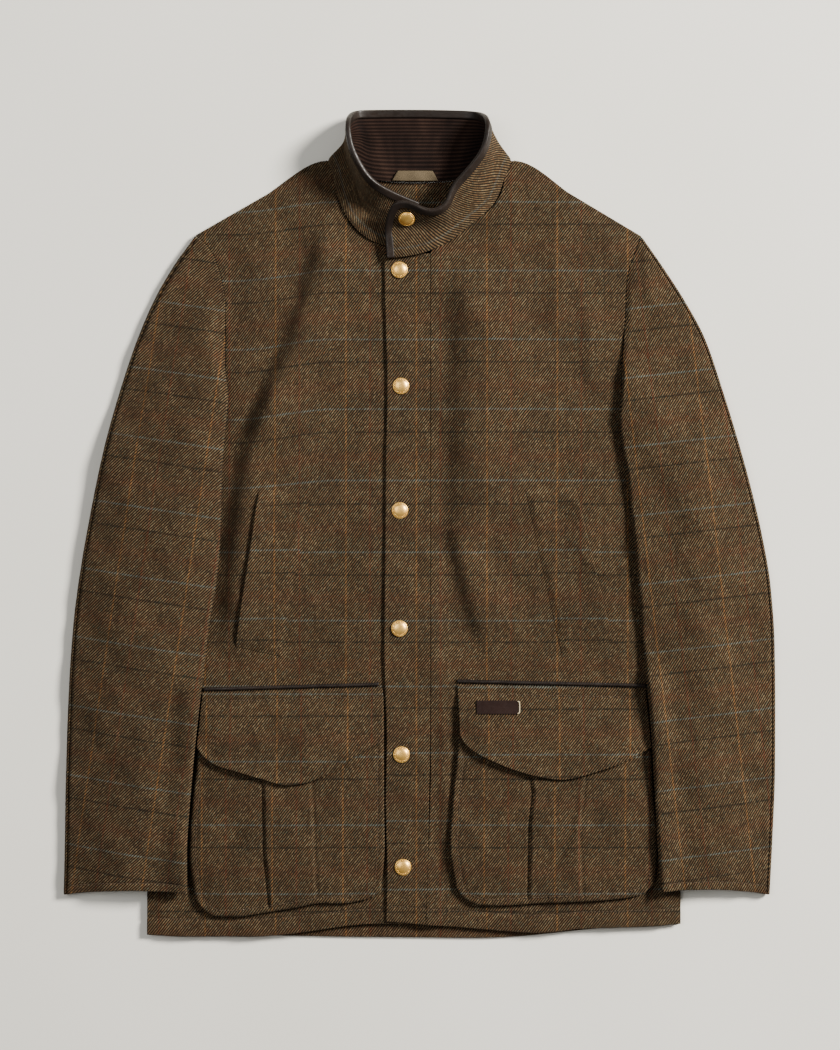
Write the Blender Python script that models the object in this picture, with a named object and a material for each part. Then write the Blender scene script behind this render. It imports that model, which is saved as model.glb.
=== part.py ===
"""A tweed stand-collar jacket lying flat on its back, front up.

Lengths in the tables are millimetres: X to the picture's right, Y towards the collar, Z up from the
surface that the jacket lies on. Right and left are the wearer's, so the right side has negative X.
"""

import math

import bmesh
import bpy
import numpy as np

MILLIMETRE = 0.001

# Cloth
WALL = 3.0
SEAM_GAP = 0.3
ARMHOLE_GAP = 0.6
LAYER_GAP = 2.5
BACK_TOP = WALL
FRONT_TOP = BACK_TOP + LAYER_GAP + WALL
SEAM_DROP = 2.2
SEAM_ROLL = 22.0

# Placket
PLACKET_WALL = 2.5
PLACKET_RISE = SEAM_GAP + PLACKET_WALL
PLACKET_FALL = 22.0

# Pockets, flaps and welts
POCKET_WALL = 2.5
POCKET_BULGE = 1.2
PLEAT_RISE = 0.8
PLEAT_FOLD = 0.015
POCKET_ROLL = 35.0
POCKET_MOUTH = -180.0
POCKET_FULL = -235.0
FLAP_WALL = 2.0
TRIM_WALL = 2.2
WELT_WALL = 1.8
LABEL_WALL = 1.0
LABEL_LIFT = 0.4

# Sleeves
SLEEVE_THICK = 8.5
SLEEVE_GROUND = 0.0
SLEEVE_CLEAR = 0.7
BODY_MARGIN = 22.0
BODY_FALL = 26.0
POCKET_MARGIN = 6.0
POCKET_FALL = 24.0
SLEEVE_ACROSS = (0.0, 0.1, 0.22, 0.35, 0.5, 0.65, 0.78, 0.9, 1.0)
ARMHOLE_FADE = 4
LAP_FROM = 0.86

# Collar
COLLAR_WALL = 1.4
COLLAR_GAP = 0.3
BINDING_GAP = 0.5
BINDING_WALL = 1.1
BINDING_DEPTH = 7.0
LOOP_WALL = 0.8
LOOP_PLACES = (0.05, 0.6)

# Press studs
STUD_RADIUS = 8.75
STUD_HEIGHT = 3.4
STUD_SIDES = 16

# Each row: outer (side) x, y, then inner (neck or front edge) x, y
RIGHT_FRONT_SECTIONS = {
    "shoulder": (-236.9, 305.3, -98.1, 384.8),
    "sleeve_head": (-222.1, 291.5, -89.6, 369.9),
    "head_low": (-212.5, 270.3, -87.5, 348.7),
    "yoke": (-207.9, 252.3, -79.0, 327.5),
    "chest_top": (-205.1, 231.1, -65.2, 308.5),
    "chest_high": (-205.1, 200.3, -26.0, 289.4),
    "chest_mid": (-205.1, 168.5, 5.8, 282.0),
    "armhole_foot": (-205.1, 142.0, 5.8, 216.2),
    "underarm_mid": (-227.4, 101.8, 5.8, 142.0),
    "underarm": (-283.6, 59.4, 5.8, 73.1),
    "ribs": (-284.6, -38.2, 5.8, -38.2),
    "waist": (-286.2, -144.2, 5.8, -144.2),
    "hip": (-287.3, -250.2, 5.8, -250.2),
    "pocket": (-287.8, -345.6, 5.8, -345.6),
    "hem": (-288.2, -434.6, 5.8, -422.9),
}
LEFT_FRONT_SECTIONS = {
    "shoulder": (234.8, 304.2, 100.2, 384.8),
    "sleeve_head": (227.4, 287.3, 90.6, 368.9),
    "head_low": (221.0, 269.2, 87.5, 354.0),
    "yoke": (218.4, 253.3, 77.9, 336.0),
    "chest_top": (217.3, 226.8, 64.1, 324.4),
    "chest_high": (215.7, 195.0, 49.3, 312.7),
    "chest_mid": (213.6, 160.1, 30.2, 297.9),
    "armhole_foot": (213.6, 117.7, 11.7, 286.2),
    "underarm_mid": (234.8, 81.6, 11.7, 195.0),
    "underarm": (276.1, 57.2, 11.7, 99.6),
    "ribs": (276.1, -38.2, 11.7, -38.2),
    "waist": (276.1, -144.2, 11.7, -144.2),
    "hip": (276.7, -250.2, 11.7, -250.2),
    "pocket": (276.1, -345.6, 9.0, -345.6),
    "hem": (276.1, -422.9, 6.4, -423.5),
}
PLACKET_SECTIONS = {
    "neck": (-37.6, 283.6, 10.9, 285.7),
    "snap_1": (-37.0, 248.0, 10.9, 248.0),
    "chest": (-35.5, 188.7, 10.9, 188.7),
    "snap_2": (-34.5, 146.3, 10.9, 146.3),
    "ribs": (-36.0, 57.2, 10.9, 57.2),
    "waist": (-36.6, -23.3, 10.9, -23.3),
    "snap_4": (-37.6, -133.6, 10.9, -133.6),
    "pocket": (-35.0, -229.0, 10.6, -229.0),
    "snap_5": (-36.0, -292.6, 9.5, -292.6),
    "snap_6": (-34.5, -363.6, 8.0, -363.6),
    "hem": (-35.5, -419.8, 5.6, -423.2),
}

# Each row: x, y along an edge
RIGHT_FRONT_HEM = (
    (-288.2, -434.6),
    (-240.1, -436.2),
    (-177.6, -436.2),
    (-144.2, -434.2),
    (-110.8, -429.9),
    (-81.1, -425.4),
    (-52.5, -422.9),
    (5.8, -422.9),
)
LEFT_FRONT_HEM = (
    (276.1, -422.9),
    (243.3, -425.6),
    (168.0, -428.2),
    (152.1, -430.4),
    (121.4, -432.1),
    (90.6, -430.4),
    (39.8, -426.1),
    (6.4, -423.5),
)
BACK_HEM = (
    (-288.2, -434.6),
    (-200.9, -435.7),
    (-130.9, -436.2),
    (-73.7, -437.2),
    (0.5, -437.8),
    (59.9, -438.4),
    (110.8, -436.2),
    (141.5, -433.1),
    (191.3, -428.2),
    (276.1, -422.9),
)
BACK_SHOULDERS = (
    (-236.9, 305.3),
    (-222.0, 313.9),
    (-167.0, 345.6),
    (-98.1, 384.8),
    (-71.5, 372.1),
    (-47.2, 363.6),
    (-3.7, 360.9),
    (39.8, 363.6),
    (69.4, 373.1),
    (100.2, 384.8),
    (167.0, 344.5),
    (220.0, 312.9),
    (234.8, 304.2),
)

# Each row: outer fold x, y, then inner fold x, y
RIGHT_SLEEVE_SECTIONS = {
    "armhole": (-236.9, 305.3, -201.9, 131.4),
    "head": (-262.4, 269.2, -203.5, 115.5),
    "head_low": (-282.5, 233.2, -205.1, 97.5),
    "bicep": (-302.6, 184.4, -207.2, 73.1),
    "bicep_low": (-321.2, 126.1, -208.8, 41.3),
    "underarm": (-334.4, 75.3, -209.4, 12.7),
    "upper": (-348.2, 9.5, -210.7, -23.3),
    "elbow_high": (-357.8, -43.5, -215.0, -65.7),
    "elbow": (-365.2, -96.5, -222.1, -107.1),
    "elbow_low": (-370.5, -165.4, -229.5, -177.0),
    "forearm": (-373.1, -229.0, -235.9, -235.3),
    "forearm_low": (-374.7, -292.6, -241.7, -297.9),
    "wrist": (-375.5, -345.6, -244.5, -345.6),
    "cuff": (-376.6, -392.2, -244.3, -389.0),
}
LEFT_SLEEVE_SECTIONS = {
    "armhole": (234.8, 304.2, 211.5, 110.2),
    "head": (259.2, 269.2, 212.5, 97.5),
    "head_low": (280.4, 236.4, 214.1, 82.7),
    "bicep": (301.6, 197.2, 216.8, 65.7),
    "bicep_low": (320.7, 142.0, 220.0, 44.5),
    "underarm": (336.6, 89.0, 223.1, 14.8),
    "upper": (349.3, 43.5, 225.8, -14.8),
    "elbow_high": (362.0, -9.5, 229.3, -51.9),
    "elbow": (371.5, -64.7, 233.2, -98.6),
    "elbow_low": (375.9, -128.3, 238.0, -152.6),
    "forearm": (376.6, -191.9, 242.2, -202.5),
    "forearm_low": (376.3, -260.8, 247.0, -274.5),
    "wrist": (373.7, -329.7, 250.2, -335.0),
    "cuff": (370.5, -392.2, 253.9, -387.4),
}
CUFF_BOW = 4.5
CUFF_ROWS = 3.0

# Each row: neck seam x, y, z, then crease x, y, z, then free edge x, y, z
COLLAR_STATIONS = {
    "right_end": (2.7, 289.0, 10.4, 1.6, 305.3, 10.5, -0.5, 337.1, 22.0),
    "right_front": (-37.6, 293.6, 10.4, -31.3, 309.5, 11.0, -24.9, 346.1, 30.0),
    "right_mid": (-67.3, 310.6, 10.4, -58.8, 330.7, 11.0, -48.2, 357.8, 40.0),
    "right_side": (-86.4, 343.4, 10.4, -68.4, 361.5, 12.5, -63.1, 376.3, 46.0),
    "right_shoulder": (-92.8, 373.1, 9.8, -75.7, 382.7, 13.5, -72.1, 396.4, 48.0),
    "right_fold": (-98.1, 384.8, 8.4, -79.9, 404.9, 13.0, -74.7, 415.5, 46.0),
    "right_back_corner": (-71.5, 373.1, 5.2, -63.0, 403.7, 6.0, -73.1, 428.2, 30.0),
    "back_right": (-47.2, 363.6, 4.9, -52.6, 398.6, 4.5, -64.7, 435.7, 11.0),
    "back_mid": (-4.8, 361.5, 4.9, -3.7, 398.6, 4.0, -2.7, 436.7, 7.5),
    "back_left": (37.6, 363.1, 4.9, 48.2, 398.6, 4.5, 57.8, 434.6, 11.0),
    "left_back_corner": (64.1, 373.1, 5.2, 68.4, 401.7, 8.0, 68.4, 428.2, 28.0),
    "left_fold": (99.1, 384.8, 8.4, 85.3, 399.6, 14.0, 71.5, 416.6, 40.0),
    "left_shoulder": (90.6, 368.9, 9.8, 81.1, 382.7, 16.0, 67.3, 393.3, 42.0),
    "left_side": (81.1, 340.3, 10.4, 64.1, 350.9, 18.0, 50.4, 371.0, 38.0),
    "left_mid": (53.5, 315.9, 10.4, 42.9, 329.7, 14.5, 33.4, 351.9, 36.0),
    "left_turn": (32.3, 298.9, 11.8, 28.1, 311.5, 14.5, 28.1, 335.0, 36.0),
    "left_front": (5.8, 286.2, 15.0, 9.0, 308.6, 16.5, 11.1, 326.5, 37.0),
    "left_snap": (-14.3, 282.0, 15.5, -14.3, 308.5, 17.0, -13.2, 337.1, 38.0),
    "left_corner": (-27.0, 280.6, 15.5, -28.0, 307.5, 17.0, -27.0, 336.0, 37.0),
    "left_end": (-33.4, 279.8, 15.5, -35.0, 303.0, 16.5, -35.6, 324.0, 28.0),
}

# Each row: outer edge x, y, then inner edge x, y
RIGHT_POCKET_SECTIONS = {
    "mouth": (-232.7, -181.5, -37.6, -179.4),
    "under_flap": (-234.8, -237.4, -37.6, -229.0),
    "middle": (-241.7, -306.3, -37.4, -292.6),
    "low": (-243.7, -345.6, -36.8, -340.3),
    "corner": (-236.9, -394.3, -40.8, -385.8),
}
LEFT_POCKET_SECTIONS = {
    "mouth": (239.0, -179.4, 42.9, -179.4),
    "under_flap": (244.3, -235.3, 41.6, -222.6),
    "middle": (247.0, -282.0, 35.5, -286.2),
    "low": (251.2, -340.3, 32.3, -340.3),
    "corner": (248.6, -379.5, 38.7, -383.7),
}
RIGHT_POCKET_FOOT = (
    (-236.9, -394.3),
    (-227.4, -407.0),
    (-213.6, -414.5),
    (-193.5, -414.5),
    (-162.7, -410.2),
    (-132.0, -405.5),
    (-103.4, -400.2),
    (-79.0, -400.4),
    (-61.0, -397.5),
    (-48.2, -392.7),
    (-40.8, -385.8),
)
LEFT_POCKET_FOOT = (
    (248.6, -379.5),
    (233.7, -391.1),
    (213.6, -395.4),
    (173.3, -398.6),
    (122.4, -400.7),
    (82.2, -402.8),
    (64.1, -402.4),
    (47.2, -395.4),
    (38.7, -383.7),
)
RIGHT_FLAP_FOOT = (
    (-234.8, -235.3),
    (-227.4, -244.9),
    (-213.6, -254.4),
    (-193.5, -260.3),
    (-167.0, -268.2),
    (-140.5, -275.0),
    (-124.0, -273.5),
    (-111.8, -269.9),
    (-91.7, -260.3),
    (-75.8, -249.1),
    (-51.4, -235.3),
    (-38.7, -229.0),
)
LEFT_FLAP_FOOT = (
    (244.3, -235.3),
    (213.6, -251.2),
    (183.9, -261.4),
    (159.5, -268.2),
    (151.1, -269.2),
    (130.9, -267.1),
    (102.3, -259.7),
    (77.9, -250.2),
    (49.3, -233.2),
    (42.6, -222.6),
)

# Each row: x, y at the outer end, then x, y at the inner end
FLAP_SEAMS = {
    "right": (-229.5, -179.1, -38.7, -173.8),
    "left": (239.0, -174.9, 39.8, -170.1),
}
FLAP_TRIMS = {
    "right": (-228.4, -174.6, -42.9, -169.3),
    "left": (239.0, -170.6, 39.8, -166.0),
}
TRIM_WIDTH = 4.0

# Each row: corners as x, y, from the upper outer one round to the lower outer one
WELTS = {
    "right": ((-169.1, 36.0), (-115.0, 35.0), (-146.8, -139.9), (-194.5, -129.3)),
    "left": ((164.8, 39.2), (111.8, 36.0), (150.0, -136.7), (204.1, -123.0)),
}

# Each row: pleat start and end across a pocket, as parts of its width
PLEATS = {
    "right": (0.36, 0.63),
    "left": (0.35, 0.63),
}

# Each row: centre x, y
STUDS = {
    "snap_1": (-21.2, 268.2),
    "snap_2": (-19.6, 145.8),
    "snap_3": (-20.7, 14.3),
    "snap_4": (-21.2, -110.2),
    "snap_5": (-19.1, -243.3),
    "snap_6": (-17.5, -362.0),
}
COLLAR_STUD_STATION = "left_snap"
COLLAR_STUD_PART = 0.72
COLLAR_STUD_LIFT = 1.6

LABEL_CORNERS = ((59.9, -186.0), (104.4, -186.0), (104.4, -200.3), (59.9, -200.3))

# Each row: sRGB colour, roughness, metallic
FINISHES = {
    "tweed": ((0.31, 0.24, 0.165), 0.95, 0.0),
    "corduroy": ((0.16, 0.11, 0.09), 0.9, 0.0),
    "leather": ((0.17, 0.12, 0.10), 0.45, 0.0),
    "ribbon": ((0.40, 0.37, 0.28), 0.85, 0.0),
    "brass": ((0.83, 0.66, 0.38), 0.3, 1.0),
}


def smooth(value):
    """A rise from 0 to 1 with level ends."""
    value = np.clip(value, 0.0, 1.0)
    return value * value * (3.0 - 2.0 * value)


def flow(rows, places):
    """Rows of numbers read at places from 0 to 1 along them, on curves that never swing past a row."""
    rows = np.asarray(rows, float)
    steps = np.linalg.norm(np.diff(rows, axis=0), axis=1)
    knots = np.concatenate([[0.0], np.cumsum(steps)]) / steps.sum()
    return flow_at(knots, rows, places)


def flow_at(knots, rows, places):
    """The same for rows that stand at given knots."""
    gaps = np.diff(knots)[:, None]
    slopes = np.diff(rows, axis=0) / gaps
    tangents = np.zeros_like(rows)
    tangents[0] = slopes[0]
    tangents[-1] = slopes[-1]
    same_way = slopes[:-1] * slopes[1:] > 0
    before = 2.0 * gaps[1:] + gaps[:-1]
    after = gaps[1:] + 2.0 * gaps[:-1]
    with np.errstate(divide="ignore", invalid="ignore"):
        blended = (before + after) / (before / slopes[:-1] + after / slopes[1:])
    tangents[1:-1] = np.where(same_way, blended, 0.0)
    places = np.asarray(places, float)
    index = np.clip(np.searchsorted(knots, places, side="right") - 1, 0, len(knots) - 2)
    width = gaps[index]
    t = (places[:, None] - knots[index][:, None]) / width
    start = (1.0 + 2.0 * t) * (1.0 - t) ** 2
    end = t * t * (3.0 - 2.0 * t)
    lead = t * (1.0 - t) ** 2 * width
    trail = t * t * (t - 1.0) * width
    steady = start * rows[index] + end * rows[index + 1]
    return steady + lead * tangents[index] + trail * tangents[index + 1]


def spans(sections, columns):
    """A plan grid [row, column, xy] of straight spans, one for each section."""
    rows = np.array(list(sections.values()))
    outer = rows[:, None, :2]
    inner = rows[:, None, 2:]
    across = np.asarray(columns, float)[None, :, None]
    return outer + (inner - outer) * across


def shape_edge(grid, edge, fades):
    """Bends the grid's last row onto an edge, and fades the bend out over the rows given."""
    edge = np.asarray(edge, float)
    start = grid[-1, 0]
    along = grid[-1, -1] - start
    places = (edge - start) @ along / (along @ along)
    columns = (grid[-1] - start) @ along / (along @ along)
    bent = flow_at(places, edge, columns)
    bend = bent - grid[-1]
    for back, fade in enumerate(fades):
        grid[-1 - back] += bend * fade


def distance_to_line(points, start, end):
    start = np.asarray(start, float)
    along = np.asarray(end, float) - start
    place = np.clip((points - start) @ along / (along @ along), 0.0, 1.0)
    return np.linalg.norm(points - start - place[..., None] * along, axis=-1)


def distance_to_path(points, path):
    return np.min([distance_to_line(points, *ends) for ends in zip(path[:-1], path[1:])], axis=0)


def inside(points, path):
    """Whether points lie in a closed path."""
    found = np.zeros(points.shape[:-1], bool)
    for (ax, ay), (bx, by) in zip(path, path[1:] + path[:1]):
        if ay == by:
            continue
        crosses = (points[..., 1] > ay) != (points[..., 1] > by)
        reach = ax + (points[..., 1] - ay) * (bx - ax) / (by - ay)
        found ^= crosses & (points[..., 0] < reach)
    return found


def raised(grid, height):
    return np.dstack([grid, np.broadcast_to(height, grid.shape[:2])])


def lowered(grid, depth):
    return grid - np.array([0.0, 0.0, 1.0]) * np.broadcast_to(depth, grid.shape[:2])[..., None]


def material(slot):
    found = bpy.data.materials.get(slot)
    if found:
        return found
    colour, roughness, metallic = FINISHES[slot]
    found = bpy.data.materials.new(slot)
    found.use_nodes = True
    shader = found.node_tree.nodes["Principled BSDF"]
    shader.inputs["Base Color"].default_value = (*(channel**2.2 for channel in colour), 1.0)
    shader.inputs["Roughness"].default_value = roughness
    shader.inputs["Metallic"].default_value = metallic
    return found


def add_solid(name, points, faces, slot):
    mesh = bpy.data.meshes.new(name)
    mesh.from_pydata([tuple(point) for point in np.asarray(points) * MILLIMETRE], [], faces)
    body = bmesh.new()
    body.from_mesh(mesh)
    bmesh.ops.triangulate(body, faces=body.faces[:])
    bmesh.ops.recalc_face_normals(body, faces=body.faces[:])
    if body.calc_volume(signed=True) < 0:
        bmesh.ops.reverse_faces(body, faces=body.faces[:])
    body.to_mesh(mesh)
    body.free()
    node_material = material(slot).copy()
    node_material.name = f"{name}_{slot}"
    mesh.materials.append(node_material)
    solid = bpy.data.objects.new(name, mesh)
    bpy.context.scene.collection.objects.link(solid)
    return solid


def add_sheet(name, top, bottom, slot):
    """Two equal grids joined all round into one closed wall."""
    rows, columns = top.shape[:2]
    points = np.concatenate([top.reshape(-1, 3), bottom.reshape(-1, 3)])
    under = rows * columns

    def at(row, column):
        return row * columns + column

    faces = []
    for row in range(rows - 1):
        for column in range(columns - 1):
            quad = (at(row, column), at(row, column + 1), at(row + 1, column + 1), at(row + 1, column))
            faces.append(quad)
            faces.append(tuple(under + corner for corner in reversed(quad)))
    rim = [at(0, column) for column in range(columns)]
    rim += [at(row, columns - 1) for row in range(1, rows)]
    rim += [at(rows - 1, column) for column in range(columns - 2, -1, -1)]
    rim += [at(row, 0) for row in range(rows - 2, 0, -1)]
    for here, following in zip(rim, rim[1:] + rim[:1]):
        faces.append((following, here, under + here, under + following))
    return add_solid(name, points, faces, slot)


def add_tube(name, outer, inner, slot):
    """Rings of an outer and an inner surface joined at both ends: an open tube with a wall."""
    rings, sides = outer.shape[:2]
    points = np.concatenate([outer.reshape(-1, 3), inner.reshape(-1, 3)])
    within = rings * sides
    faces = []
    for side in range(sides):
        after = (side + 1) % sides
        for here in range(0, within - sides, sides):
            there = here + sides
            quad = (here + side, here + after, there + after, there + side)
            faces.append(quad)
            faces.append(tuple(within + corner for corner in reversed(quad)))
        for end in (0, within - sides):
            faces.append((end + side, end + after, within + end + after, within + end + side))
    return add_solid(name, points, faces, slot)


def add_stud(name, centre, out, slot):
    """A domed cap whose base centre and facing are given."""
    out = np.asarray(out, float) / np.linalg.norm(out)
    side = np.cross(out, (0.0, 1.0, 0.0))
    side /= np.linalg.norm(side)
    up = np.cross(side, out)
    # Each row: part of the radius, part of the height
    profile = ((0.94, 0.0), (1.0, 0.22), (0.94, 0.5), (0.74, 0.72), (0.4, 0.93))
    points = [np.asarray(centre, float)]
    for reach, rise in profile:
        for step in range(STUD_SIDES):
            angle = 2.0 * math.pi * step / STUD_SIDES
            spoke = math.cos(angle) * side + math.sin(angle) * up
            points.append(centre + spoke * reach * STUD_RADIUS + out * rise * STUD_HEIGHT)
    points.append(centre + out * STUD_HEIGHT)
    faces = []
    for step in range(STUD_SIDES):
        after = (step + 1) % STUD_SIDES
        faces.append((0, 1 + after, 1 + step))
        for ring in range(len(profile) - 1):
            low = 1 + ring * STUD_SIDES
            high = low + STUD_SIDES
            faces.append((low + step, low + after, high + after, high + step))
        top = 1 + (len(profile) - 1) * STUD_SIDES
        faces.append((top + step, top + after, len(points) - 1))
    return add_solid(name, points, faces, slot)


# Body
PANEL_COLUMNS = (0.0, 0.03, 0.08, 0.17, 0.32, 0.48, 0.64, 0.8, 0.92, 1.0)
HEM_FADES = (1.0, 0.35)


def side_path(sections):
    rows = list(sections)
    under = rows.index("underarm")
    return [sections[row][:2] for row in rows[under:]]


def seam_drop(points, sections):
    """How far a front dips to meet the back along the shoulder and the side."""
    shoulder = sections["shoulder"]
    near = distance_to_line(points, shoulder[:2], shoulder[2:])
    near = np.minimum(near, distance_to_path(points, side_path(sections)))
    return SEAM_DROP * (1.0 - smooth(near / SEAM_ROLL))


def front_height(points, sections):
    height = FRONT_TOP - seam_drop(points, sections)
    if sections is LEFT_FRONT_SECTIONS:
        seam = [row[2:] for row in list(sections.values())[7:]]
        height = height + PLACKET_RISE * (1.0 - smooth(distance_to_path(points, seam) / PLACKET_FALL))
    return height


def make_front(name, sections, hem):
    grid = spans(sections, PANEL_COLUMNS)
    shape_edge(grid, hem, HEM_FADES)
    height = front_height(grid, sections)
    top = raised(grid, height)
    return add_sheet(name, top, lowered(top, WALL), "tweed")


def make_back():
    right = np.array([row[:2] for row in RIGHT_FRONT_SECTIONS.values()])
    left = np.array([row[:2] for row in LEFT_FRONT_SECTIONS.values()])
    crown = np.array(BACK_SHOULDERS)
    columns = (crown[:, 0] - crown[0, 0]) / (crown[-1, 0] - crown[0, 0])
    grid = right[:, None] + (left - right)[:, None] * columns[None, :, None]
    bend = crown - grid[0]
    rows = len(right)
    for row in range(rows):
        grid[row] += bend * (1.0 - row / (rows - 1.0)) ** 2
    shape_edge(grid, BACK_HEM, HEM_FADES)
    top = raised(grid, BACK_TOP)
    return add_sheet("back_panel", top, lowered(top, WALL), "tweed")


def make_placket():
    grid = spans(PLACKET_SECTIONS, (0.0, 0.08, 0.5, 1.0))
    top = raised(grid, FRONT_TOP + PLACKET_RISE)
    return add_sheet("front_placket", top, lowered(top, PLACKET_WALL), "tweed")


# Pockets
def pocket_outline(sections, foot):
    outer = [row[:2] for row in sections.values()]
    inner = [row[2:] for row in sections.values()]
    return outer + [tuple(point) for point in foot[1:-1]] + inner[::-1]


def bulge(points, outline):
    """How full a pocket is, from 0 at its edges to 1 inside."""
    near = distance_to_path(points, outline)
    down = smooth((POCKET_MOUTH - points[..., 1]) / (POCKET_MOUTH - POCKET_FULL))
    return smooth(near / POCKET_ROLL) * down


def make_pocket(name, sections, foot, pleat):
    start, end = pleat
    middle = (start + end) / 2.0
    folds = (start, start + PLEAT_FOLD, middle, end - PLEAT_FOLD, end)
    columns = (0.0, 0.04, 0.12, 0.24, *folds, 0.76, 0.88, 0.96, 1.0)
    grid = spans(sections, columns)
    shape_edge(grid, foot, (1.0, 0.25))
    outline = pocket_outline(sections, foot)
    rise = bulge(grid, outline)
    strip = np.array([float(start < column < end) for column in columns])
    height = FRONT_TOP + SEAM_GAP + POCKET_WALL + rise * (POCKET_BULGE + PLEAT_RISE * strip)
    top = raised(grid, height)
    return add_sheet(name, top, lowered(top, POCKET_WALL), "tweed")


def flap_height(points, sections, foot):
    """The top of a flap that lies over its pocket."""
    rise = bulge(points, pocket_outline(sections, foot))
    return FRONT_TOP + 2.0 * SEAM_GAP + POCKET_WALL + rise * (POCKET_BULGE + PLEAT_RISE) + FLAP_WALL


def make_flap(name, seam, flap_foot, sections, foot):
    flap_foot = np.array(flap_foot)
    seam_start = np.array(seam[:2])
    seam_end = np.array(seam[2:])
    places = (flap_foot[:, 0] - flap_foot[0, 0]) / (flap_foot[-1, 0] - flap_foot[0, 0])
    head = seam_start + (seam_end - seam_start) * places[:, None]
    downs = (0.0, 0.2, 0.5, 0.8, 1.0)
    grid = np.array([head + (flap_foot - head) * down for down in downs])
    top = raised(grid, flap_height(grid, sections, foot))
    return add_sheet(name, top, lowered(top, FLAP_WALL), "tweed")


def make_bar(name, ends, width, low, thick, slot):
    start = np.array(ends[:2])
    end = np.array(ends[2:])
    middle = np.array([0.0, 1.0]) * width / 2.0
    grid = np.array([[start - middle, end - middle], [start + middle, end + middle]])
    top = raised(grid, low + thick)
    return add_sheet(name, top, lowered(top, thick), slot)


def make_patch(name, corners, low, thick, slot):
    a, b, c, d = (np.array(corner, float) for corner in corners)
    rows = []
    for down in (0.0, 0.33, 0.67, 1.0):
        start = a + (d - a) * down
        end = b + (c - b) * down
        rows.append([start + (end - start) * across for across in (0.0, 0.5, 1.0)])
    top = raised(np.array(rows), low + thick)
    return add_sheet(name, top, lowered(top, thick), slot)


# Sleeves
def underarm_region(sections):
    """The part of the body that a sleeve lies on, as a closed path."""
    middle = 60.0 if sections is LEFT_FRONT_SECTIONS else -60.0
    foot = sections["armhole_foot"]
    path = [foot[:2], sections["underarm_mid"][:2]] + side_path(sections)
    edge_x = sections["hem"][0]
    low = sections["hem"][1] - 60.0
    return path + [(edge_x, low), (middle, low), (middle, foot[1])]


def falloff(points, path, margin, fall):
    away = np.where(inside(points, path), 0.0, distance_to_path(points, path + path[:1]))
    return 1.0 - smooth((away - margin) / fall)


def sleeve_base(points, side):
    """The height that the underside of a sleeve lies at."""
    body = SIDES[side]["front"]
    region = underarm_region(body)
    on_body = FRONT_TOP + SLEEVE_CLEAR
    base = SLEEVE_GROUND + on_body * falloff(points, region, BODY_MARGIN, BODY_FALL)
    pocket = SIDES[side]["pocket"]
    foot = SIDES[side]["pocket_foot"]
    outline = pocket_outline(pocket, foot)
    over_pocket = SEAM_GAP + POCKET_WALL
    base = np.maximum(base, base + over_pocket * falloff(points, outline, POCKET_MARGIN, POCKET_FALL))
    flap = [tuple(point) for point in SIDES[side]["flap_foot"]]
    seam = SIDES[side]["seam"]
    cover = [seam[:2]] + flap + [seam[2:]]
    base = base + (SEAM_GAP + FLAP_WALL) * falloff(points, cover, POCKET_MARGIN, POCKET_FALL)
    return base


def armhole_curve(sections, places):
    rows = list(sections)
    curve = [sections[row][:2] for row in rows[: rows.index("armhole_foot") + 1]]
    return flow(curve, places)


def sleeve_ring(section, bend, bow, wall_in, side):
    """One closed section of a flattened sleeve, wall_in below the sleeve's outer surface."""
    start = np.array(section[:2])
    along = np.array(section[2:]) - start
    width = np.linalg.norm(along)
    half = SLEEVE_THICK / 2.0
    radius = half - wall_in
    flats = [half + (width - SLEEVE_THICK) * place for place in SLEEVE_ACROSS]
    turns = [math.radians(angle) for angle in (50.0, 0.0, -50.0)]
    reach = [(place, half + radius) for place in flats]
    reach += [(width - half + radius * math.cos(turn), half + radius * math.sin(turn)) for turn in turns]
    reach += [(place, half - radius) for place in reversed(flats)]
    reach += [(half - radius * math.cos(turn), half - radius * math.sin(turn)) for turn in turns]
    reach = np.array(reach)
    places = reach[:, 0] / width
    plan = start + along * places[:, None]
    square = np.array([along[1], -along[0]]) / width
    plan = plan + bend(places) + square * (bow * 4.0 * places * (1.0 - places))[:, None]
    return np.column_stack([plan, sleeve_base(plan, side) + reach[:, 1]])


def make_sleeve(name, side):
    sections = SIDES[side]["sleeve"]
    body = SIDES[side]["front"]
    outwards = -1.0 if side == "right" else 1.0
    shoulder = np.array(body["shoulder"][:2])
    foot = np.array(body["armhole_foot"][:2])
    lap_end = np.array(sections["armhole"][2:])

    def armhole_bend(strength):
        def bend(places):
            curve = armhole_curve(body, np.clip(places, 0.0, 1.0))
            straight = shoulder + (lap_end - shoulder) * places[:, None]
            lap = smooth((places - LAP_FROM) / (1.0 - LAP_FROM))[:, None]
            gap = np.array([outwards * ARMHOLE_GAP, 0.0])
            return (curve - straight + gap + (lap_end - foot - gap) * lap) * strength

        return bend

    surfaces = []
    last = len(sections) - 1
    for wall_in in (0.0, WALL):
        rings = []
        for index, section in enumerate(sections.values()):
            strength = max(0.0, 1.0 - index / ARMHOLE_FADE)
            bow = outwards * CUFF_BOW * smooth(1.0 - (last - index) / CUFF_ROWS)
            rings.append(sleeve_ring(section, armhole_bend(strength), bow, wall_in, side))
        surfaces.append(np.array(rings))
    return add_tube(name, surfaces[0], surfaces[1], "tweed")


# Collar
# Spans between two stations, places from neck seam to free edge, and the first place under the binding
COLLAR_SPANS = 2
COLLAR_UP = (0.0, 0.25, 0.45, 0.62, 0.78, 0.89, 0.955, 1.0)
COLLAR_CREASE = 0.45
BINDING_FROM = 5
END_BINDING_STOP = 0.3


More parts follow.
